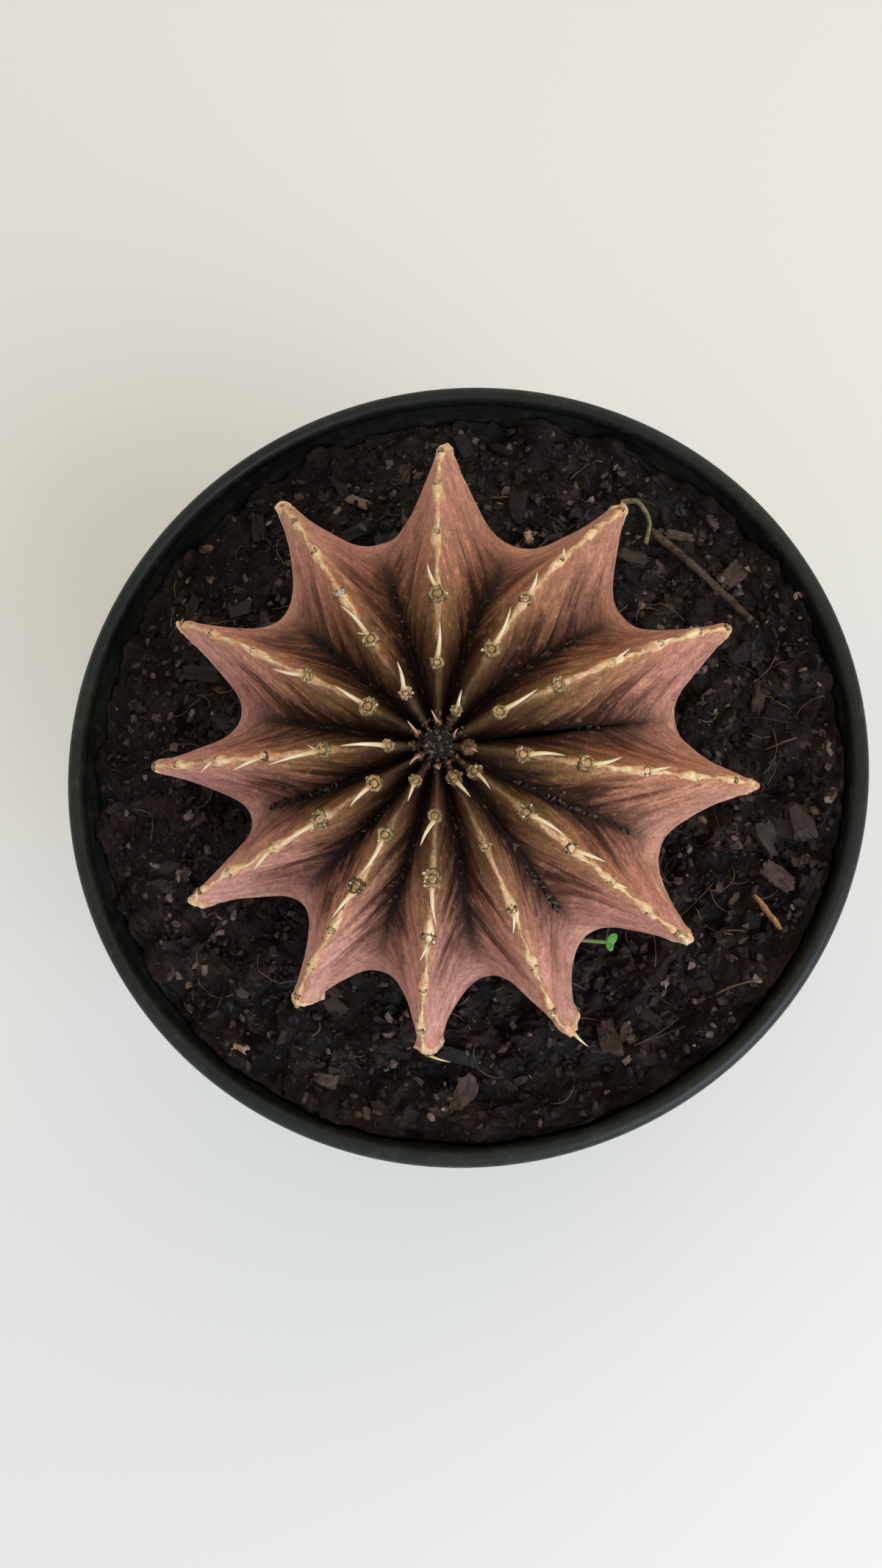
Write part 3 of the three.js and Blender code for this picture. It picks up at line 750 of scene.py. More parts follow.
flesh = Finish(
    skin, "cactus skin", specular_ior_level=0.15, subsurface_weight=0.05, subsurface_scale=0.001
)
strip = flesh.strip("flank")
u, t = strip.part("X"), strip.part("Y")
across = abs(u)
crest_line = flesh.strip("crest")
aside, along = crest_line.part("X"), crest_line.part("Y")
sided = aside.math("SIGN", aside) * 3.7 + along * 0.02
streak = t + 0.15 * across
fine = streak.vector(streak * 60, across * 3, sided).cloud(1, 5, 0.62)
broad = streak.vector(streak * 17, across * 1.4, sided + 9).cloud(1, 3, 0.5)
blotch = flesh.place.cloud(95, 4, 0.6)
patches = flesh.place.cloud(38, 3)
mottled = flesh.place.cloud(900, 4, 0.65)
grainy = flesh.place.cloud(2300, 3, 0.75)

age = t + 0.2 * (broad - 0.5) + 0.16 * (patches - 0.5)
skin_colour = age.ramp(
    (0.075, shade(34, 23, 15)),
    (0.185, shade(111, 76, 46)),
    (0.38, shade(170, 114, 84)),
    (0.58, shade(190, 131, 104)),
    (0.78, shade(199, 142, 116)),
    (1.0, shade(210, 157, 131)),
)
rosy = patches.rise(0.42, 0.6) * t.rise(0.35, 0.8) * 0.5
skin_colour = rosy.pick(skin_colour, shade(198, 134, 128))
# One side is painted paler and pinker and the other browner and darker: partly the plant's own
# sun-dried tint, partly painted light on the front left and painted shade on the back right.
sun_and_lit_side = ((flesh.place.part("X") * -0.5 - flesh.place.part("Y") * 0.85) / MM).rise(-36, 40)
sun_and_lit_tint = sun_and_lit_side.pick(shade(126, 79, 45), shade(218, 168, 164))
skin_colour = (abs(sun_and_lit_side - 0.5) * t.rise(0.2, 0.5) * 0.56).pick(skin_colour, sun_and_lit_tint)
# Stains and pale lines combed along the folds.
combed = across.rise(0.05, 0.4) * (1 - 0.72 * t.rise(0.5, 0.85))
stained = shade(104, 58, 42)
skin_colour = (fine.rise(0.47, 0.66) * combed * 0.5).pick(skin_colour, stained)
skin_colour = (broad.rise(0.46, 0.62) * combed * 0.7).pick(skin_colour, stained)
paler = (1 - fine).rise(0.54, 0.7) * t.rise(0.08, 0.4) * 0.35
skin_colour = paler.pick(skin_colour, shade(222, 168, 142))
olive = (1 - t.rise(0.12, 0.5)) * (1 - across.rise(0.25, 0.8)) * blotch.rise(0.4, 0.62)
olives = t.rise(0.08, 0.3).pick(shade(84, 68, 36), shade(136, 112, 56))
skin_colour = (olive * 0.45).pick(skin_colour, olives)
# Painted shade deep in the valleys between the ribs, fading towards the tips, and a darker painted
# shade along the crease at their bottoms.
banded = (1.2 * (broad - 0.5) + 0.4 * (fine - 0.5)) * (1 - 0.6 * t.rise(0.45, 0.7))
valley_shade = (across + banded - 0.2 * (t - 0.3)).rise(0.1, 0.9)
valley_shade = valley_shade * (1 - (t + 0.25 * (broad - 0.5)).rise(0.45, 0.9))
skin_colour = (valley_shade * 0.93).pick(skin_colour, shade(36, 16, 8))
crease_dent_and_shade = (across + 0.12 * (mottled - 0.5)).rise(0.88, 0.99)
crease_dent_and_shade = crease_dent_and_shade * (1 - (t + 0.3 * (patches - 0.5)).rise(0.5, 0.85))
skin_colour = (crease_dent_and_shade * 0.85).pick(skin_colour, shade(28, 14, 9))
scurf = mottled.rise(0.58, 0.68) * t.rise(0.05, 0.2) * (1 - t.rise(0.3, 0.9)) * 0.22
skin_colour = scurf.pick(skin_colour, shade(186, 160, 126))
moles = flesh.place.cloud(620, 2).rise(0.7, 0.76) * 0.6
skin_colour = moles.pick(skin_colour, shade(70, 42, 32))

# The corky crest line, and the flush along it.
worn = along.vector(along * 0.45, sided).cloud(1, 4, 0.6)
frayed = crest_line.stretched(2.6, 0.8, 1).cloud(1, 4, 0.65)
tip = t.rise(0.88, 0.99) * (1 - t.rise(1.25, 1.6))
grown = t.rise(0.12, 0.4)
above_soil = 1 - t.rise(1.7, 1.95)
half_width = (0.16 + 0.95 * worn) * (0.5 + 0.5 * grown) + 1.6 * tip
wander = along.vector(along * 0.33, 0, 7).cloud(1, 3, 0.6) - 0.5
off_crest = abs(aside + (1.8 - 1.2 * grown) * wander) + (0.5 + 2 * tip) * (frayed - 0.5)
rim = (1 - (off_crest - half_width).rise(-0.1, 0.9)) * above_soil
cork = (1 - (off_crest - half_width).rise(-0.25, 0.1)) * t.rise(0.08, 0.36) * above_soil
flushed = flesh.place.cloud(240, 3).rise(0.5, 0.6)
rusty = flesh.place.cloud(130, 2).rise(0.6, 0.66)
edged = rusty.pick(flushed.pick(shade(190, 140, 96), shade(198, 118, 98)), shade(206, 120, 60))
skin_colour = (rim * (0.03 + 0.64 * grown)).pick(skin_colour, edged)
creamy = worn.rise(0.3, 0.7).pick(shade(200, 150, 104), shade(232, 203, 160))
creamy = (frayed.rise(0.52, 0.72) * 0.6).pick(creamy, shade(164, 116, 76))
creamy = (flushed * tip * 0.6).pick(creamy, shade(206, 142, 118))
creamy = (frayed.rise(0.5, 0.62) * tip * 0.7).pick(creamy, shade(240, 228, 204))
skin_colour = (cork * 0.92).pick(skin_colour, creamy)
skin_colour = grainy.over(skin_colour, 0.8)
skin_colour = mottled.over(skin_colour, 0.6)
skin_colour = flesh.place.cloud(300, 3, 0.6).over(skin_colour, 0.6)
buried = t.rise(1.4, 1.9)
root_bark = (0.6 * mottled + 0.4 * blotch).pick(shade(92, 70, 48), shade(150, 124, 94))
flesh.colour(buried.pick(skin_colour, root_bark))
flesh.roughness(0.5 + 0.16 * mottled + 0.18 * cork + 0.2 * valley_shade)
relief = (0.4 * fine + 0.3 * broad) * (1 - 0.6 * t.rise(0.5, 0.9))
relief = relief + 0.35 * mottled + cork * 0.45 * frayed
flesh.relief(relief + 0.12 * grainy, 0.45)


# Areoles
# The spine cushions on the crests: round pads of matted tan wool, ragged round the rim, with a
# corky boss in the middle. The old ones near the rib tips are small and almost bare.

draw = random.Random(7)

# The pads of each rib outwards from the crown, in the order of the ribs: radius, and how weathered
# they are: 0 dark, 0.5 tan, 1 silvery. Those past the last one given are plain.
plain_pad = (0.45, 0.45)
pads = [
    [(0.92, 0.4), (0.92, 0.55), (0.45, 1), (0.38, 0.3), (0.42, 0)],
    [(0.72, 0.25), (1, 0.5), (0.85, 0.4), (0.4, 0.6)],
    [(0.84, 0.5), (1.15, 0.3), (0.5, 0.4)],
    [(0.76, 0.35), (1, 0.6), (0.7, 0.9), (0.5, 0.4)],
    [(1.12, 0.3), (0.8, 0.3), (0.42, 0)],
    [(0.76, 0.4), (0.95, 0.6), (0.66, 0), (0.42, 0.6)],
    [(1, 0.6), (1.05, 0.3), (0.62, 0.4), (0.5, 0.8)],
    [(0.78, 0.4), (1, 0.4), (1.05, 0.1), (0.5, 0.5)],
    [(0.85, 0.3), (1.18, 0.4), (0.85, 0.3), (0.48, 0.6)],
    [(0.98, 0.18), (0.72, 0.6), (0.62, 0), (0.45, 0.6), (0.55, 0.3)],
    [(0.9, 0.2), (0.95, 0.2), (0.75, 0), (0.6, 0.4), (0.42, 0.5)],
    [(1, 0.5), (1.05, 0.5), (0.6, 0.1), (0.42, 0.3)],
]


def seat(index, t):
    """The frame of a place on a crest: X sideways, Y outwards along the rib, Z out of the skin."""
    at = on_body(index, 0, t)
    ahead = (on_body(index, 0, t + 0.01) - on_body(index, 0, t - 0.01)).normalized()
    side = Vector((at.y, -at.x, 0)).normalized()
    out = side.cross(ahead).normalized()
    side = ahead.cross(out)
    turn = Matrix((side, ahead, out)).transposed().to_4x4()
    return standing @ Matrix.Translation(at) @ turn


# A pad's section for a radius of 1, from the skirt in the skin over the ragged ring and the hollow
# to the boss.
pad_section = [
    (1, -0.5), (1.02, -0.05), (0.94, 0.2), (0.8, 0.34), (0.66, 0.34),
    (0.54, 0.14), (0.47, 0.12), (0.4, 0.32), (0.2, 0.4), (0, 0.42),
]
pad_steps = 36
areoles = bmesh.new()
areoles.loops.layers.uv.new("ring")
crumbs = bmesh.new()
tufts = bmesh.new()
scraps = [pebble(0.7, 0.5, 60 + seed) for seed in range(4)]


def wisp(bend):
    """A hair one unit long along Y that curls up towards Z."""
    shape = bmesh.new()
    sides, steps = 4, 4
    end = bmesh.ops.create_circle(
        shape, segments=sides, radius=0.5, matrix=rotated(-math.pi / 2, "X")
    )["verts"]
    for step in range(1, steps + 1):
        edges = [edge for edge in edges_of(end) if edge.is_boundary]
        grown = bmesh.ops.extrude_edge_only(shape, edges=edges)["geom"]
        end = [part for part in grown if isinstance(part, bmesh.types.BMVert)]
        share = step / steps
        for vertex in end:
            narrow = (1 - share**2 * 0.9) / (1 - ((step - 1) / steps) ** 2 * 0.9)
            vertex.co.x *= narrow
            vertex.co.z *= narrow
        bmesh.ops.translate(shape, vec=(0, 1 / steps, 0), verts=end)
    bmesh.ops.holes_fill(shape, edges=shape.edges, sides=0)
    for vertex in shape.verts:
        vertex.co.z += bend * vertex.co.y**2
    bmesh.ops.recalc_face_normals(shape, faces=shape.faces)
    return template(shape)


wisps = [wisp(bend) for bend in (0.5, 0.2, -0.25, -0.5)]


def tumbled(tilt):
    """A turn and a tilt by chance."""
    return turned_round() @ rotated(jitter(tilt), "X")


def cushion(place, radius, tone, seed):
    """One woolly pad, with scraps and hairs of wool on it."""
    pad = spun([(radius * out, radius * up) for out, up in pad_section], pad_steps)
    bmesh.ops.recalc_face_normals(pad, faces=pad.faces)
    strip = pad.loops.layers.uv.new("ring")
    for face in pad.faces:
        for loop in face.loops:
            loop[strip].uv = (math.hypot(loop.vert.co.x, loop.vert.co.y) / radius, tone)
    for vertex in pad.verts:
        rough = noise.noise(vertex.co * 1.1 + Vector((seed * 50, 0, 0)))
        torn = noise.noise(vertex.co * 6.5 + Vector((0, seed * 50, 0)))
        vertex.co *= 1 + 0.24 * rough + 0.1 * torn
        vertex.co.z += 0.12 * radius * rough + 0.16 * torn * radius
    bmesh.ops.transform(pad, matrix=place, verts=pad.verts)
    pour(areoles, template(pad))
    for _ in range(int(30 * radius)):
        turn = draw.uniform(0, math.tau)
        out = radius * draw.uniform(0.6, 1.08)
        up = radius * draw.uniform(0.1, 0.32)
        at = place @ Matrix.Translation((out * math.cos(turn), out * math.sin(turn), up))
        size = draw.uniform(0.09, 0.24)
        laid = at @ tumbled(1)
        scrap = draw.choice(scraps)
        plant(crumbs, scrap, laid @ sized(size, size * draw.uniform(0.5, 1), size * 0.7))
    for _ in range(int(34 * radius)):
        turn = draw.uniform(0, math.tau)
        out = radius * draw.uniform(0.55, 0.95)
        length = draw.uniform(0.35, 0.95)
        at = place @ rotated(turn, "Z") @ Matrix.Translation((0, out, radius * 0.16))
        lifted = rotated(draw.uniform(0.1, 1.1), "X") @ rotated(jitter(0.7), "Z")
        plant(tufts, draw.choice(wisps), at @ lifted @ sized(0.07, length, 0.07))


seats = []
for index in range(len(ribs)):
    for number, distance in enumerate(areole_distances(index)):
        place = seat(index, found(index, distance))
        radius, tone = pads[index][number] if number < len(pads[index]) else plain_pad
        seats.append((index, number, place, radius))
        lifted = Matrix.Translation((0, 0, 0.32 - 0.1 * radius))
        cushion(place @ lifted, radius, tone, draw.random())
# Torn cork at the rib tips: flat shreds that stand off the fin's edge, most on three of them.
for index in range(len(ribs)):
    for _ in range(36 if index in (6, 8, 9) else 18):
        place = seat(index, draw.uniform(0.9, 1.12))
        place = place @ Matrix.Translation((jitter(0.6), 0, draw.uniform(-0.05, 0.3)))
        turn = rotated(jitter(1.4), "Z") @ rotated(draw.uniform(0.2, 1.3), "X")
        shred = sized(draw.uniform(0.15, 0.5), draw.uniform(0.5, 1.5), 0.1)
        plant(tufts, draw.choice(wisps), place @ turn @ shred)
areoles = piece("areoles", areoles, "cactus_skin")
wool = Finish(areoles, "areole wool", specular_ior_level=0.15)
ring = wool.strip("ring")
out, tone = ring.part("X"), ring.part("Y")
matted = wool.place.cloud(1600, 5, 0.7)
felt = matted.rise(0.3, 0.7).pick(shade(98, 74, 48), shade(186, 154, 110))
# A dark ring painted in the hollow between the ragged ring and the boss: painted shade.
felt = ((1 - abs(out - 0.52) * 7).rise(0, 1) * 0.8).pick(felt, shade(60, 40, 26))
boss = 1 - out.rise(0.38, 0.5)
corky = matted.rise(0.3, 0.7).pick(shade(150, 110, 66), shade(204, 168, 118))
felt = (boss * 0.85).pick(felt, corky)
dark = (1 - tone.rise(0.05, 0.38)) * (1 - 0.5 * boss) * 0.85
felt = dark.pick(felt, shade(48, 34, 24))
felt = (tone.rise(0.62, 0.9) * 0.8).pick(felt, shade(196, 188, 174))
# The skirt where the pad sinks into the skin is painted dark: painted shade round its foot.
wool.colour((out.rise(0.88, 1.0) * 0.75).pick(felt, shade(60, 42, 29)))
wool.roughness(0.8 + 0.1 * matted)
wool.relief(matted, 0.2)

crumbs = piece("areole_crumbs", crumbs, "cactus_skin", smooth=False)
scrap = Finish(crumbs, "dry wool scraps", roughness=0.85, specular_ior_level=0.2)
scrap.colour(
    scrap.island().ramp(
        (0, shade(58, 46, 34)),
        (0.4, shade(120, 100, 70)),
        (0.8, shade(176, 154, 114)),
        (1, shade(222, 204, 166)),
    )
)
tufts = piece("areole_wool", tufts, "cactus_skin")
lint = Finish(tufts, "wool hairs", roughness=0.85, specular_ior_level=0.2)
lint.colour(lint.island().pick(shade(104, 84, 58), shade(214, 192, 154)))


# Spines
# Stout ivory spines, one to most areoles: flattened, a little swollen at the foot and curved, lying
# outwards over the crest. A few have a short side spine, and the youngest are pink.

draw = random.Random(19)
thorns = bmesh.new()


def thorn(place, length, turn, lift, thickness, bend, young=0.0):
    """One spine from a seat on the crest, turned sideways and lifted in degrees."""
    shape = bmesh.new()
    bmesh.ops.create_cone(shape, cap_ends=True, segments=8, radius1=1, radius2=1, depth=1)
    sides = [
        edge for edge in shape.edges if abs(edge.verts[0].co.z - edge.verts[1].co.z) > 0.5
    ]
    bmesh.ops.subdivide_edges(shape, edges=sides, cuts=11, use_grid_fill=True)
    strip = shape.loops.layers.uv.new("spine")
    for face in shape.faces:
        for loop in face.loops:
            loop[strip].uv = (young, loop.vert.co.z + 0.5)
    wave = jitter(0.06)
    for vertex in shape.verts:
        share = vertex.co.z + 0.5
        foot = 1 + 0.45 * math.exp(-((share / 0.07) ** 2))
        wide = thickness * ((1 - share) ** 0.62 * foot + 0.015)
        vertex.co.x *= wide
        vertex.co.y *= wide * 0.72
        vertex.co.z = share * length
        vertex.co.y -= bend * length * share**2
        vertex.co.x += wave * length * math.sin(math.pi * share)
    forward = rotated(math.radians(-90), "X")
    aimed = rotated(math.radians(turn), "Z") @ rotated(math.radians(lift), "X")
    bmesh.ops.transform(shape, matrix=place @ aimed @ forward, verts=shape.verts)
    bmesh.ops.recalc_face_normals(shape, faces=shape.faces)
    pour(thorns, template(shape))


for index, number, place, radius in seats:
    spines = ribs[index][7]
    spine = spines[number] if number < len(spines) else None
    if spine:
        length, turn = spine
        foot = place @ Matrix.Translation((0, 0.55 * radius, 0.3))
        lift = 17 if number < 4 or turn > 60 else 62  # the last ones stand up off the tip
        thorn(foot, length, turn, lift, 0.31 if length > 3 else 0.24, -0.09)
        if length > 4.4 and draw.random() < 0.3:
            aside = draw.choice((-1, 1)) * draw.uniform(25, 50)
            thorn(foot, draw.uniform(1, 1.7), turn + aside, 12, 0.14, -0.1)

# The newest areoles: rib, distance from the crown, radius, and their spine's length and turn.
young_ones = [
    (11, 3.9, 1, 1.7, -20),
    (4, 3, 0.45, 2.6, -15),
    (2, 2.7, 0.42, 2.3, 20),
    (6, 2.9, 0.42, 2.7, 13),
    (0, 2.4, 0.36, 1.5, 20),
    (8, 2.8, 0.5, 0.8, 30),
]
for index, distance, radius, length, turn in young_ones:
    foot = seat(index, found(index, distance)) @ Matrix.Translation((0, 0.4 * radius, 0.25))
    thorn(foot, length, turn, 24, 0.21, 0.02, young=1.0)
bmesh.ops.recalc_face_normals(thorns, faces=thorns.faces)
thorns = piece("spines", thorns, "cactus_skin")

horn = Finish(
    thorns, "spine horn", specular_ior_level=0.45, subsurface_weight=0.15, subsurface_scale=0.001
)
strip = horn.strip("spine")
young, along = strip.part("X"), strip.part("Y")
grain = horn.place.cloud(1300, 4, 0.65)
ivory = along.ramp(
    (0.0, shade(166, 124, 78)),
    (0.14, shade(206, 178, 132)),
    (0.5, shade(226, 206, 170)),
    (0.85, shade(214, 188, 154)),
    (1.0, shade(186, 148, 116)),
)
ivory = (grain.rise(0.52, 0.75) * 0.5).pick(ivory, shade(168, 134, 96))
pink = along.pick(shade(158, 102, 72), shade(220, 164, 138))
horn.colour((young * 0.85).pick(ivory, pink))
horn.roughness(0.38 + 0.25 * grain)
horn.relief(grain, 0.06)


# Crown
# The growing point, sunk between the ribs: a dark scab of dead wool and grit the size of a lentil,
# with the newest reddish-brown areoles crowding round it.

scab_bits, dead_wool_bits = 230, 420
crown_height = crest(0, 0)[1]
draw = random.Random(3)
scab = bmesh.new()
bits = [pebble(0.8, 0.5, 90 + seed) for seed in range(5)]
for _ in range(scab_bits):
    out = 1.7 * math.sqrt(draw.random())
    turn = draw.uniform(0, math.tau)
    rise = 0.75 * (1 - (out / 1.8) ** 2) + jitter(0.2)
    size = draw.uniform(0.12, 0.34)
    at = Vector((out * math.cos(turn), out * math.sin(turn), crown_height + rise))
    laid = standing @ Matrix.Translation(at) @ tumbled(1.2)
    plant(scab, draw.choice(bits), laid @ sized(size, size * draw.uniform(0.6, 1), size))
dome = bmesh.new()
bmesh.ops.create_icosphere(dome, subdivisions=4, radius=1)
for vertex in dome.verts:
    vertex.co *= 1 + 0.2 * noise.noise(vertex.co * 3)
    x, y, z = vertex.co
    vertex.co = (x * 1.55, y * 1.55, z * 1.1 + crown_height - 0.2)
bmesh.ops.transform(dome, matrix=standing, verts=dome.verts)
pour(scab, template(dome))
scab = piece("crown_scab", scab, "cactus_skin", smooth=False)
char = Finish(scab, "dead wool", specular_ior_level=0.18)
grit = char.place.cloud(1800, 4, 0.7)
# The grit in a dark tone of its own, with a few bits painted pale as painted glints.
grit_and_glint_tone = (char.island() ** 4).pick(shade(28, 22, 20), shade(166, 148, 132))
char.colour(grit.rise(0.3, 0.75).pick(shade(12, 9, 8), grit_and_glint_tone))
char.roughness(0.45 + 0.4 * grit)
char.relief(grit, 0.2)

buds = bmesh.new()
for index, distance, radius, _, _ in young_ones:
    place = seat(index, found(index, distance))
    knob = bmesh.new()
    bmesh.ops.create_icosphere(knob, subdivisions=3, radius=radius)
    seed = Vector((draw.uniform(0, 90), 0, 0))
    for vertex in knob.verts:
        coarse, close = noise.noise(vertex.co * 3 + seed), noise.noise(vertex.co * 8 + seed)
        vertex.co *= 1 + 0.35 * coarse + 0.2 * close
        vertex.co.z *= 0.7
    bmesh.ops.transform(knob, matrix=place, verts=knob.verts)
    pour(buds, template(knob))
    for _ in range(int(90 * radius)):
        turn = turned_round()
        turn = turn @ Matrix.Translation((0, 0.9 * radius * draw.random(), 0.5 * radius))
        lifted = rotated(draw.uniform(0.1, 0.9), "X")
        hair = draw.choice(wisps)
        plant(buds, hair, place @ turn @ lifted @ sized(0.1, draw.uniform(0.3, 0.8), 0.1))
# Dead wool round the scab, matted between the inner ends of the ribs.
for _ in range(dead_wool_bits):
    index = draw.randrange(len(ribs))
    at = on_body(index, draw.uniform(-0.7, 0.7), draw.uniform(0.014, 0.05))
    at = at + Vector((0, 0, draw.uniform(0.1, 0.8)))
    turn = turned_round() @ rotated(draw.uniform(-0.2, 0.8), "X")
    place = standing @ Matrix.Translation(at) @ turn
    if draw.random() < 0.5:
        size = draw.uniform(0.12, 0.34)
        plant(buds, draw.choice(bits), place @ sized(size, size * 0.7, size * 0.8))
    else:
        plant(buds, draw.choice(wisps), place @ sized(0.1, draw.uniform(0.4, 1), 0.1))
buds = piece("young_areoles", buds, "cactus_skin")
bud = Finish(buds, "young areole wool", roughness=0.8, specular_ior_level=0.2)
tangle = bud.place.cloud(1700, 4, 0.7)
wisp_colour = (bud.island() ** 1.6).pick(shade(74, 48, 34), shade(166, 124, 92))
bud.colour(tangle.rise(0.3, 0.7).pick(shade(40, 25, 18), wisp_colour))
bud.relief(tangle, 0.2)


# Debris in the valleys
# Old wool, grit and dead root hairs washed into the creases between the ribs: strings of dark
# crumbs, thickest halfway out, with a few pale grains.

draw = random.Random(23)
debris = bmesh.new()
for index in range(len(ribs)):
    thick = index in (9, 10, 5)
    heaps = [draw.uniform(0.24, 0.66 if thick else 0.5) for _ in range(7 if thick else 3)]
    for _ in range(64 if thick else 14):
        t = draw.choice(heaps) + draw.gauss(0, 0.02)
        at = on_body(index, 1 - abs(draw.gauss(0, 0.025)), t)
        at = at + Vector((jitter(0.25), jitter(0.25), draw.uniform(-0.35, 0.1)))
        size = draw.uniform(0.1, 0.32 if thick else 0.24)
        place = standing @ Matrix.Translation(at) @ tumbled(1)
        plant(debris, draw.choice(bits), place @ sized(size * 1.3, size * 0.8, size * 0.8))
        if draw.random() < 0.4:
            plant(debris, draw.choice(wisps), place @ sized(0.08, draw.uniform(0.6, 1.4), 0.08))
debris = piece("valley_debris", debris, "cactus_skin", smooth=False)
dirt = Finish(debris, "valley dirt", roughness=0.9, specular_ior_level=0.2)
dirt.colour(
    dirt.island().ramp((0, shade(20, 15, 12)), (0.6, shade(54, 41, 33)), (1, shade(118, 98, 79)))
)


# Seedling
# A seedling that has come up in the compost by the plant: a pale bent stem with its two seed
# leaves, bright green and smooth.

limb_sides = 12


def limb(path, radii, flat=1.0):
    """A round limb that follows a path of points, closed at both ends."""
    shape = bmesh.new()
    end = []
    for number, (point, radius) in enumerate(zip(path, radii)):
        before, after = path[max(number - 1, 0)], path[min(number + 1, len(path) - 1)]
        turn = (after - before).to_track_quat("Z", "X").to_matrix().to_4x4()
        place = Matrix.Translation(point) @ turn @ sized(1, flat, 1)
        ring = bmesh.ops.create_circle(shape, segments=limb_sides, radius=radius, matrix=place)
        edges = edges_of(ring["verts"])
        if end:
            bmesh.ops.bridge_loops(shape, edges=end + edges)
        end = edges
    bmesh.ops.holes_fill(shape, edges=shape.edges, sides=0)
    bmesh.ops.recalc_face_normals(shape, faces=shape.faces)
    return shape


def smoothed(points, cuts=6):
    """Points along a smooth curve through the given ones."""
    dense = []
    points = [Vector(point) for point in points]
    padded = [points[0], *points, points[-1]]
    for a, b, c, d in zip(padded, padded[1:], padded[2:], padded[3:]):
        for cut in range(cuts):
            f = cut / cuts
            curved = 2 * b + (c - a) * f + (2 * a - 5 * b + 4 * c - d) * f**2
            dense.append(0.5 * (curved + (3 * b - a - 3 * c + d) * f**3))
    return [*dense, points[-1]]


stem_top = Vector((21.9, -29.1, 94.1))
stem_path = [(16.3, -28.1, 86.5), (17.3, -28.4, 91.2), (19.6, -28.8, 93.2), (21.9, -29.1, 94)]
stem_path = smoothed(stem_path)
stem = limb(stem_path, [0.3] * len(stem_path))
stem = piece("seedling_stem", stem, "seedling_green", "seedling")
pale = Finish(
    stem, "seedling stem", roughness=0.4, subsurface_weight=0.3, subsurface_scale=0.002
)
height = pale.place.part("Z") / MM
pale.colour(height.rise(92.5, 94).pick(shade(176, 186, 150), shade(120, 166, 88)))

leaves = bmesh.new()
for turn, size in ((-0.7, 0.74), (math.pi + 0.1, 0.62)):
    leaf = bmesh.new()
    bmesh.ops.create_uvsphere(leaf, u_segments=20, v_segments=12, radius=1)
    for vertex in leaf.verts:
        x, y, z = vertex.co
        vertex.co = (x * 0.88 * (1 - 0.2 * y), y * 1.2 + 0.95, z * 0.3 + 0.22 * x**2)
    place = Matrix.Translation(stem_top) @ rotated(turn, "Z") @ rotated(0.15, "X")
    bmesh.ops.transform(leaf, matrix=place @ sized(size, size, size), verts=leaf.verts)
    pour(leaves, template(leaf))
leaves = piece("seed_leaves", leaves, "seedling_green")
green = Finish(
    leaves, "seed leaf", roughness=0.35, subsurface_weight=0.35, subsurface_scale=0.002
)
green.grained(green.place.cloud(900, 3), 0.35, shade(66, 150, 44), shade(122, 196, 86), 0.05)


# Litter on the compost
# A thin dry twig and a curled straw at the back right, a sliver of orange-brown bark at the right,
# and three bigger flecks of pale bark lying apart.


def laid_out(points, raised, cuts):
    """A smooth path over the compost through points given from above."""
    return smoothed([(x, y, soil_level + ground(x, y) + raised) for x, y in points], cuts)


twig_path = laid_out([(30.9, 35.2), (35.7, 30), (40.5, 25.1), (45, 19.8)], 0.5, 8)
radii = [
    0.68 * (1 - 0.25 * number / len(twig_path)) + 0.05 * math.sin(2.2 * number)
    for number in range(len(twig_path))
]
twig = piece("dry_twig", limb(twig_path, radii), "dry_twig", "twig")
husk = Finish(twig, "twig bark", roughness=0.85, specular_ior_level=0.25)
husk.grained(husk.place.cloud(900, 5, 0.7), 0.3, shade(44, 33, 26), shade(96, 76, 60), 0.25)

straw_path = laid_out([(26.3, 40.5), (28.6, 39.8), (30.4, 37.1), (29.7, 33.4)], 0.5, 8)
straw = limb(straw_path, [0.62] * len(straw_path), 0.6)
straw = piece("dry_straw", straw, "dry_straw", "straw")
stalk = Finish(straw, "straw", roughness=0.7, specular_ior_level=0.3)
ribbing = stalk.place.cloud(1200, 4, 0.6)
stalk.grained(ribbing, 0.35, shade(92, 84, 56), shade(140, 128, 88), 0.15)

sliver_path = [(42.7, -22.3), (43.7, -23.6), (44.6, -24.8), (45.5, -26), (46.3, -27.1)]
sliver_path = laid_out(sliver_path, 0.7, 4)
widths = [
    0.35 + 0.55 * math.sin(math.pi * (0.12 + 0.8 * number / len(sliver_path)))
    for number in range(len(sliver_path))
]
sliver = limb(sliver_path, widths, 0.45)
for vertex in sliver.verts:
    vertex.co += Vector((1, 1, 1)) * 0.12 * noise.noise(vertex.co * 1.7)
sliver = piece("bark_sliver_torn", sliver, "bark_sliver", "bark_sliver")
torn = Finish(sliver, "orange-brown bark", roughness=0.8, specular_ior_level=0.25)
fibre = torn.place.stretched(1, 1, 3).cloud(900, 5, 0.7)
torn.grained(fibre, 0.3, shade(112, 74, 44), shade(186, 138, 88), 0.25)

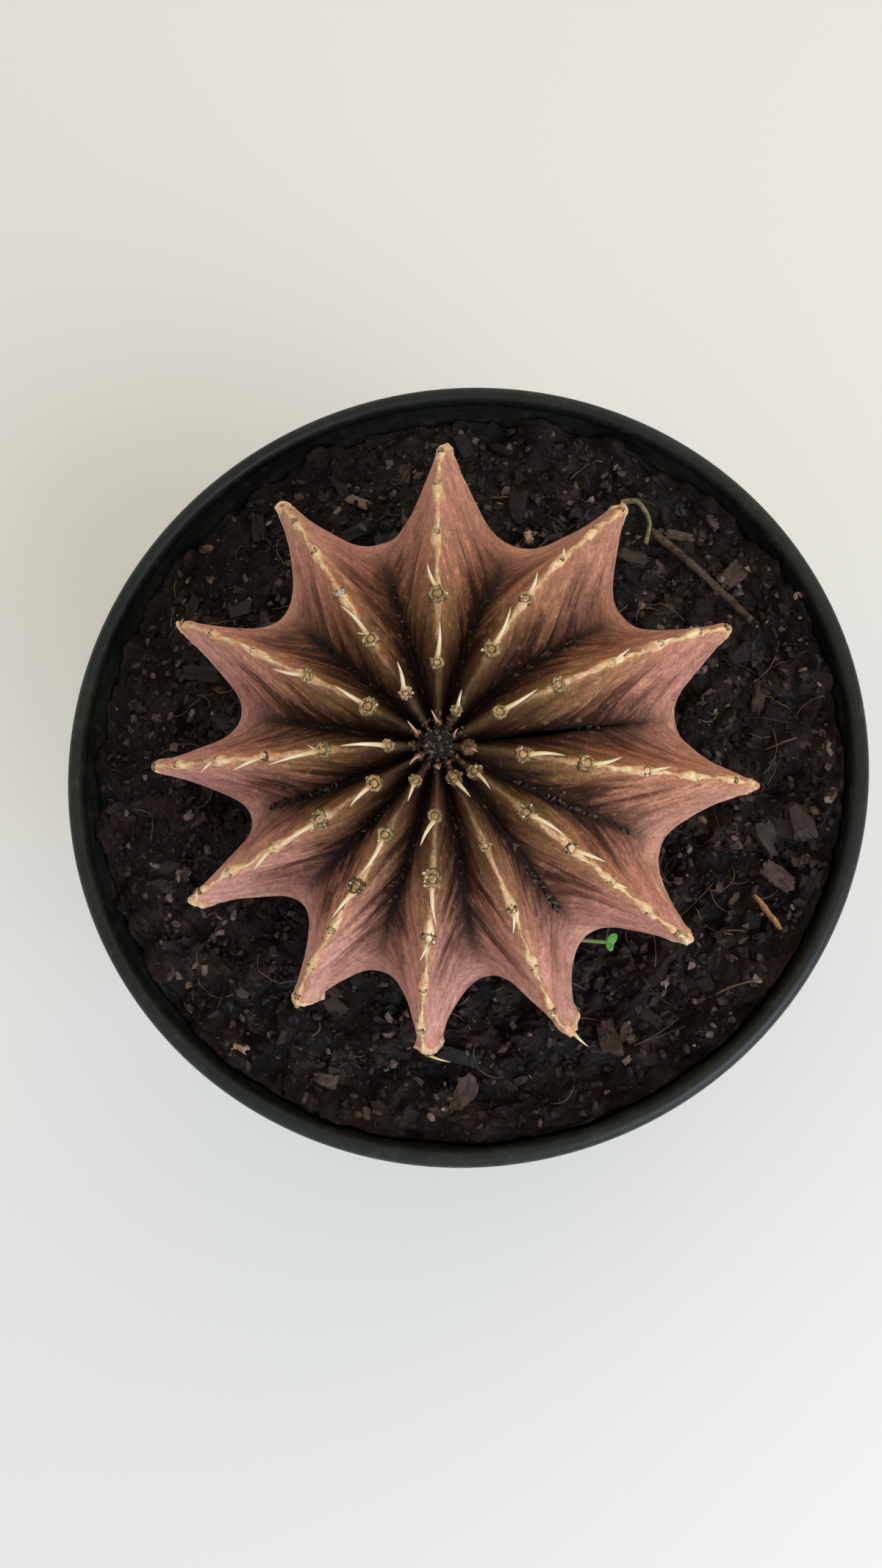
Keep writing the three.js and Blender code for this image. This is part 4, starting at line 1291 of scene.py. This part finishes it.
# Each fleck: its place, length, width and turn.
loose_flecks = [
    ((52, 23, 92), 0.9, 0.6, 0.3),
    ((11.5, 35, 91), 1.3, 0.7, 1.9),
    ((-32, -43.6, 91), 1.6, 0.8, 2.6),
]
flecks = bmesh.new()
for place, length, width, turn in loose_flecks:
    laid = splinter(length * 10, 2)
    laid.transform(Matrix.Translation(place) @ rotated(turn, "Z") @ sized(length, width, 0.5))
    pour(flecks, laid)
flecks = piece("loose_flecks", flecks, "bark_sliver", smooth=False)
rind = Finish(flecks, "pale bark", roughness=0.85, specular_ior_level=0.25)
weathered = rind.place.cloud(900, 4, 0.7).rise(0.3, 0.7)
rind.colour(weathered.pick(shade(110, 84, 66), shade(186, 150, 122)))


# Camera and light
# A plain pale floor, with the camera high over the front of the pot as in the photograph. The
# light is soft daylight from the front right, a weak blue sky at the left and a pale room.

eye = bpy.data.cameras.new("camera")
eye.lens = 27.06
eye.sensor_width = 36
eye.clip_start = 0.01
camera = bpy.data.objects.new("camera", eye)
camera.location = Vector((14.5, -44.8, 264.2)) * MM
camera.rotation_euler = (
    Matrix.Rotation(math.radians(5.6), 3, "Y") @ Matrix.Rotation(math.radians(12.97), 3, "X")
).to_euler()
bpy.context.scene.collection.objects.link(camera)
bpy.context.scene.camera = camera

floor = bmesh.new()
bmesh.ops.create_grid(floor, x_segments=2, y_segments=2, size=3)
floor_mesh = bpy.data.meshes.new("floor")
floor.to_mesh(floor_mesh)
floor.free()
floor = bpy.data.objects.new("floor", floor_mesh)
bpy.context.scene.collection.objects.link(floor)
Finish(floor, "pale floor", base_color=shade(228, 225, 218), roughness=0.6)


def lamp(name, place, power, colour):
    """A soft round lamp aimed at the crown."""
    light = bpy.data.lights.new(name, "AREA")
    light.shape = "DISK"
    light.size = 0.8
    light.energy = power
    light.color = colour[:3]
    made = bpy.data.objects.new(name, light)
    made.location = place
    aim = Vector((0, 0, 0.1)) - Vector(place)
    made.rotation_euler = aim.to_track_quat("-Z", "Y").to_euler()
    bpy.context.scene.collection.objects.link(made)


lamp("window", (0.61, -0.55, 0.67), 8.2, shade(218, 232, 255))
lamp("sky", (-0.41, -0.66, 0.65), 0.9, shade(108, 160, 255))
lamp("room", (0.4, 0.7, 0.78), 1.3, shade(255, 208, 144))
sky = bpy.data.worlds.new("room light")
bpy.context.scene.world = sky
sky.use_nodes = True
sky.node_tree.nodes["Background"].inputs["Color"].default_value = shade(253, 253, 243)
sky.node_tree.nodes["Background"].inputs["Strength"].default_value = 0.74
bpy.context.scene.view_settings.view_transform = "Standard"
